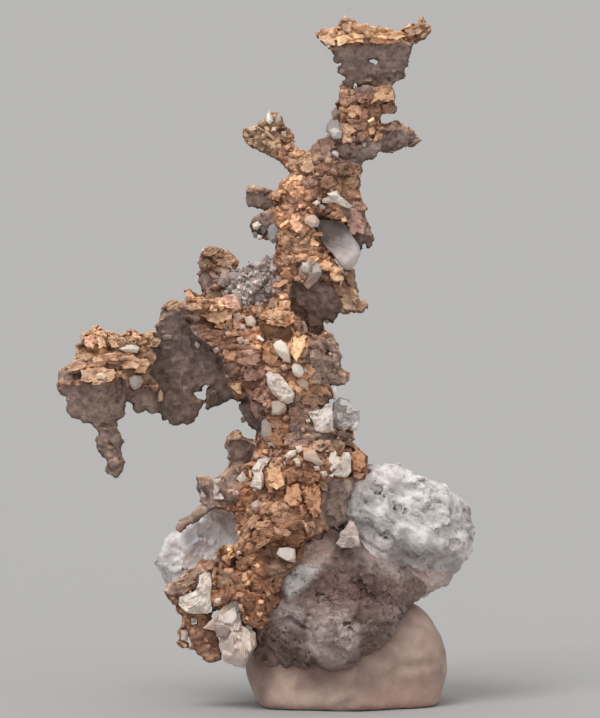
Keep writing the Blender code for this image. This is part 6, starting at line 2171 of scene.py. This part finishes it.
def main():
    protos = prototypes()
    edge_map = outline_map()
    rng = np.random.default_rng(4711)
    field, D, names, label, label2, first, second, crease_shade = build_copper()
    owner_of = {"copper_trunk_middle": "copper_trunk_lower"}
    bright = {"copper_trunk_lower", "copper_trunk_middle", "copper_trunk_upper", "copper_left_arm",
              "copper_upper_left_branch", "copper_right_flake", "copper_low_left_flake"}
    metal_bright = copper_material("copper_bright_skin", 0.22, 0.56, 0.55)
    metal_dark = copper_material("copper_dark_skin", 0.16, 0.60, 0.65)
    triangles = 0
    quiet_map = [r[0] for r in RECEDING]
    raised = [flake[0] for flake in SLABS] + [pebble[0] for pebble in PEBBLES]
    raised += [drawing[0] for drawings in CALCITE.values() for drawing in drawings]
    bodies = {}
    for number, name in enumerate(names):
        verts, quads = piece_of(field, D, number, label, label2, first, second)
        tris = split_quads(verts, quads)
        verts, tris = largest_parts(verts, tris, 200)
        n = vertex_normals(verts, tris)
        open_ = openness(field, D, verts + n * 0.05, n)
        tint = copper_tint(verts, n)
        _, _, who, _ = cells(verts, 0.42, 81)
        groove_shade = field.sample(verts - n * 0.04, crease_shade).astype(F32)
        tint *= (0.80 + 0.40 * RAND[who, 5])[:, None]
        # Painted shade: darker in hollows and grooves, in the strip round the raised flakes and grains, and on faces
        # near the outline that do not look up.
        tint *= (0.76 + 0.30 * np.clip(open_, 0, 1))[:, None]
        tint *= (1 - 0.50 * groove_shade[:, None] * np.array([0.88, 1.0, 1.06]))
        seam_shade = crevice_shade(verts, raised) * frontness(verts, n)
        tint *= 1 - 0.42 * seam_shade[:, None] * np.array([0.90, 1.0, 1.04])
        rim = np.clip(1 + edge_map(verts) / 0.14, 0, 1) * np.clip(0.7 - n[:, 2], 0, 1)
        tint *= 1 - 0.42 * rim[:, None] * np.array([0.92, 1.0, 1.03])
        wear_and_shade = np.stack([open_, np.clip(0.9 - open_, 0, 1) * 0.8, RAND[who, 6]], axis=1)
        bodies[name] = [(verts, tris, np.clip(tint, 0, 0.97), wear_and_shade)]
        bodies[name] += slabs_on(name, field, D, label, number, rng)
        bodies[name] += chips_on(name, verts, tris, protos, rng, field, D, first, second, edge_map)
    note("copper skinned")
    for name, parts in bodies.items():
        verts, tris, tint, wear_and_shade, soft = join(parts)
        triangles += len(tris)
        note(f"{name} {len(tris)}")
        node = owner_of.get(name, name)
        obj = make_object(name + "_skin", verts, tris, tint, wear_and_shade, soft,
                          metal_bright if name in bright else metal_dark, 28)
        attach(obj, "root")
        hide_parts(node)
    note(f"copper objects, {triangles} triangles")

    white = calcite_material("calcite_white")
    grey = calcite_material("calcite_cloudy", (0.97, 0.97, 1.0), 0.5, 0.05)
    for name in CALCITE:
        verts, tris, tint, wear_and_shade, soft = build_calcite(name, np.random.default_rng(sum(map(ord, name))), field, D)
        triangles += len(tris)
        cloudy = name in ("calcite_grey_cluster", "calcite_cloud")
        obj = make_object(name + "_crystal", verts, tris, tint, wear_and_shade, soft, grey if cloudy else white,
                          60 if name == "calcite_cloud" else 24)
        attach(obj, "root")
        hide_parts(name)
    note(f"calcite, {triangles} triangles so far")

    # Small grains of calcite on the copper, more of them near the big ones.
    skin = [bodies[k][0] for k in ("copper_trunk_lower", "copper_trunk_middle", "copper_trunk_upper", "copper_left_arm",
                                   "copper_arm_knob", "copper_head", "copper_left_twigs")]
    sv, st = join(skin)[:2]
    p, normal, _ = scatter(sv, st, 700, rng)
    col, row, depth = sheet_of(p)
    chance = np.full(len(p), 0.09)
    for c, r, radius in ((292, 455, 34), (330, 462, 22), (285, 350, 18), (250, 318, 14), (245, 478, 18),
                         (228, 600, 18), (262, 300, 16), (330, 150, 10), (345, 205, 12), (300, 375, 14),
                         (250, 432, 14)):
        chance += 0.85 * np.exp(-((col - c) ** 2 + (row - r) ** 2) / radius**2) * frontness(p)
    chance += 0.25 * (1 - frontness(p))
    for loop in quiet_map:
        chance[(polygon_distance(col, row, loop) < 3) & (p[:, 1] < 0.6)] = 0
    keep = rng.random(len(p)) < chance
    p, normal = p[keep], normal[keep]
    count = len(p)
    size = np.clip(rng.lognormal(math.log(0.20), 0.4, count), 0.09, 0.5)
    size *= 1 + 1.4 * (1 - frontness(p)) * (rng.random(count) < 0.4)
    tone = np.array([WHITE, CREAM, ROSE, BEIGE])[rng.choice(4, count, p=[0.5, 0.22, 0.14, 0.14])]
    tone = tone * rng.uniform(0.85, 1.08, (count, 1))
    w = np.stack([np.ones(count), np.full(count, 0.1), rng.random(count)], axis=1)
    parts = []
    kinds = rng.choice(["block", "nub", "chip"], count, p=[0.15, 0.45, 0.4])
    for kind in ("block", "nub", "chip"):
        k = kinds == kind
        rot = frames(normal[k], rng, 0.5)
        s = size[k][:, None] * rng.uniform(0.8, 1.3, (k.sum(), 3))
        parts.append(grow_crystals(protos, kind, rng.integers(0, 9999, k.sum()),
                                   p[k] + normal[k] * (size[k] * 0.35)[:, None], rot, s,
                                   np.clip(tone[k], 0, 0.95), w[k]))
    parts += grains_of([(o, None, 0.8, t, proud) for o, t, proud in PEBBLES], rng, field, D)
    verts, tris, tint, wear_and_shade, soft = join(parts, 0)
    triangles += len(tris)
    obj = make_object("calcite_specks", verts, tris, tint, wear_and_shade, soft, white, 24)
    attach(obj, "root")

    stone = {
        "matrix_right_lobe": ("rock_pale", rock_material("rock_pale_skin", (0.17, 0.15, 0.15), 0.72, 0.6)),
        "matrix_left_lobe": ("rock_pale", None),
        "matrix_core": ("rock_purple", rock_material("rock_purple_skin", (0.10, 0.065, 0.065), 0.55, 0.8, 0.12)),
        "pale_foot": ("rock_foot", rock_material("rock_foot_skin", (0.26, 0.19, 0.165), 0.62, 0.22)),
    }
    stone["matrix_left_lobe"] = ("rock_pale", stone["matrix_right_lobe"][1])
    for name, (slot, material) in stone.items():
        verts, tris, tint, wear_and_shade = build_rock(name)
        triangles += len(tris)
        note(f"{name} {len(tris)} triangles")
        obj = make_object(name + "_rock", verts, tris, tint, wear_and_shade, name == "pale_foot", material)
        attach(obj, "root")
        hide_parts(name)

    triangles += grey_patch(protos, field, D)
    note(f"all {triangles} triangles")


def grey_patch(protos, field, D):
    """The silvery cluster between the knob and the trunk: small bright and dark crystals."""
    rng = np.random.default_rng(606)
    strokes = [
        [(232, 282, -4, 14), (250, 284, -8, 16), (268, 280, -4, 16), (276, 270, 0, 9)],
        [(244, 296, -14, 12), (262, 298, -14, 11)],
    ]
    lo, hi = shape_box(strokes, [])
    f = Field(lo + REACH - 0.5, hi - REACH + 0.5, 0.14)
    where, d = shape_distance(f, strokes, [])
    F = np.full(f.n, 9.0, F32)
    F[where] = d
    outline = [(222, 276), (226, 270), (238, 268), (246, 272), (250, 269), (256, 265), (261, 272), (266, 262),
               (270, 257), (274, 258), (280, 268), (284, 290), (276, 306), (250, 312), (236, 304), (222, 296)]
    F = smax(F, drawn(f, [outline]), 0.3)
    band = np.abs(F) < 0.6
    p = f.points(band)
    rough, _, _ = facets(p, 0.75, 0.7, 0.26, 91)
    F[band] += rough + 0.12 * perlin(p, 0.9, 92) + facets(p, 0.35, 0.5, 0.06, 94)[0]
    verts, quads = surface_net(F, f.lo, f.v)
    tris = split_quads(verts, quads)
    verts, tris = largest_parts(verts, tris, 100)
    n = vertex_normals(verts, tris)
    _, _, who, _ = cells(verts, 0.4, 93)
    tone = 0.22 + 0.34 * RAND[who, 4]
    tint = 1.25 * tone[:, None] * np.array([1.0, 0.83, 0.76])
    wear_and_shade = np.stack([np.full(len(verts), 0.6), np.full(len(verts), 0.3), RAND[who, 5]], axis=1)
    parts = [(verts, tris, tint, wear_and_shade)]
    p, normal, _ = scatter(verts, tris, 600, rng)
    count = len(p)
    kinds = rng.choice(["spike", "block", "chip", "plate"], count, p=[0.36, 0.22, 0.22, 0.20])
    size = np.clip(rng.lognormal(math.log(0.25), 0.42, count), 0.10, 0.60)
    tones = np.array([0.20, 0.42, 0.58, 0.74, 0.92])[rng.choice(5, count, p=[0.12, 0.24, 0.32, 0.22, 0.10])]
    hue = np.where(rng.random(count)[:, None] < 0.35, np.array([1.0, 0.77, 0.67]), np.array([1.0, 0.88, 0.83]))
    col, row, _ = sheet_of(p)
    warm = np.clip((row - 294) / 10, 0, 1)[:, None]
    tone = tones[:, None] * hue * (1 - warm * (1 - np.array([1.0, 0.86, 0.80])))
    white_strip = (np.abs(col - 254) < 12) & (np.abs(row - 302) < 6)
    tone[white_strip] = np.array([0.85, 0.77, 0.73])
    w = np.stack([np.ones(count), np.full(count, 0.05), rng.random(count)], axis=1)
    for kind in ("spike", "block", "chip", "plate"):
        k = kinds == kind
        rot = frames(normal[k] * 0.7 + np.array([0, -0.1, 0.5]), rng, 0.5)
        s = size[k][:, None] * rng.uniform(0.75, 1.25, (k.sum(), 3))
        parts.append(grow_crystals(protos, kind, rng.integers(0, 9999, k.sum()),
                                   p[k] + normal[k] * (size[k] * 0.3)[:, None], rot, s, tone[k], w[k]))
    verts, tris, tint, wear_and_shade, _ = join(parts)
    material, tree, bsdf = shader("crystal_grey_skin")
    g = Graph(tree)
    where = g.coords()
    mottle = g.noise(where, 3000.0, 3.0, 0.6)
    tint_in = g.attribute("tint")
    base = g.mix(g.ramp(mottle, 0.35, 0.68), g.mix(1.0, tint_in, (0.70, 0.68, 0.68), "MULTIPLY"), tint_in)
    g.link(base, bsdf.inputs["Base Color"])
    bsdf.inputs["Metallic"].default_value = 0.0
    g.link(g.ramp(mottle, 0.3, 0.7, 0.40, 0.22), bsdf.inputs["Roughness"])
    g.link(g.bump(mottle, 0.3, 0.00006), bsdf.inputs["Normal"])
    obj = make_object("grey_crystal_cluster", verts, tris, tint, wear_and_shade, False, material)
    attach(obj, "root")
    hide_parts("grey_crystal_patch")
    return len(tris)


main()


# ================================================================== stage
def stage():
    bpy.ops.mesh.primitive_circle_add(vertices=96, radius=5.0, fill_type="NGON", location=(0, 0, -0.00002))
    floor = bpy.context.object
    floor.name = "floor"
    material, tree, bsdf = shader("floor_paper")
    g = Graph(tree)
    soft = g.noise(g.coords(), 3.0, 2.0)
    g.link(g.mix(g.ramp(soft, 0.3, 0.7), (0.380, 0.377, 0.374), (0.390, 0.387, 0.384)), bsdf.inputs["Base Color"])
    bsdf.inputs["Roughness"].default_value = 0.95
    bsdf.inputs["Specular IOR Level"].default_value = 0.0
    floor.data.materials.append(material)

    world = bpy.data.worlds.new("studio")
    bpy.context.scene.world = world
    world.use_nodes = True
    tree = world.node_tree
    g = Graph(tree)
    background = tree.nodes["Background"]
    direction = g.node("ShaderNodeTexCoord").outputs["Generated"]
    z = g.node("ShaderNodeSeparateXYZ")
    g.link(direction, z.inputs[0])
    ramp = g.node("ShaderNodeValToRGB")
    ramp.color_ramp.elements[0].position = 0.30
    ramp.color_ramp.elements[0].color = (0.34, 0.34, 0.335, 1)
    ramp.color_ramp.elements[1].position = 1.0
    ramp.color_ramp.elements[1].color = (1.0, 1.0, 1.0, 1)
    low = ramp.color_ramp.elements.new(0.55)
    low.color = (0.40, 0.40, 0.40, 1)
    g.link(g.ramp(z.outputs["Z"], -1.0, 1.0), ramp.inputs["Fac"])
    g.link(ramp.outputs["Color"], background.inputs["Color"])
    background.inputs["Strength"].default_value = 1.0

    def sun(name, towards, energy, angle, colour=(1, 1, 1)):
        data = bpy.data.lights.new(name, "SUN")
        data.energy = energy
        data.angle = math.radians(angle)
        data.color = colour
        light = bpy.data.objects.new(name, data)
        bpy.context.scene.collection.objects.link(light)
        light.rotation_euler = Vector(towards).to_track_quat("Z", "Y").to_euler()

    sun("key", (-0.40, -0.50, 0.95), 1.7, 28, (1.0, 0.985, 0.96))
    sun("fill", (0.7, -0.8, 0.35), 0.25, 60)

    data = bpy.data.cameras.new("camera")
    camera = bpy.data.objects.new("camera", data)
    bpy.context.scene.collection.objects.link(camera)
    look = Vector(((300 - COL0) / SHEET, 0, (ROW0 - 359) / SHEET)) * 0.001
    tilt = math.radians(5)
    distance = 0.9
    camera.location = look + distance * Vector((0, -math.cos(tilt), math.sin(tilt)))
    camera.rotation_euler = (math.radians(90) - tilt, 0, 0)
    data.sensor_fit = "VERTICAL"
    data.sensor_height = 24
    data.lens = 24 * distance * 1000 / 59.7
    data.clip_start = 0.01
    data.clip_end = 50
    bpy.context.scene.camera = camera
    bpy.context.scene.view_settings.view_transform = "Standard"


stage()
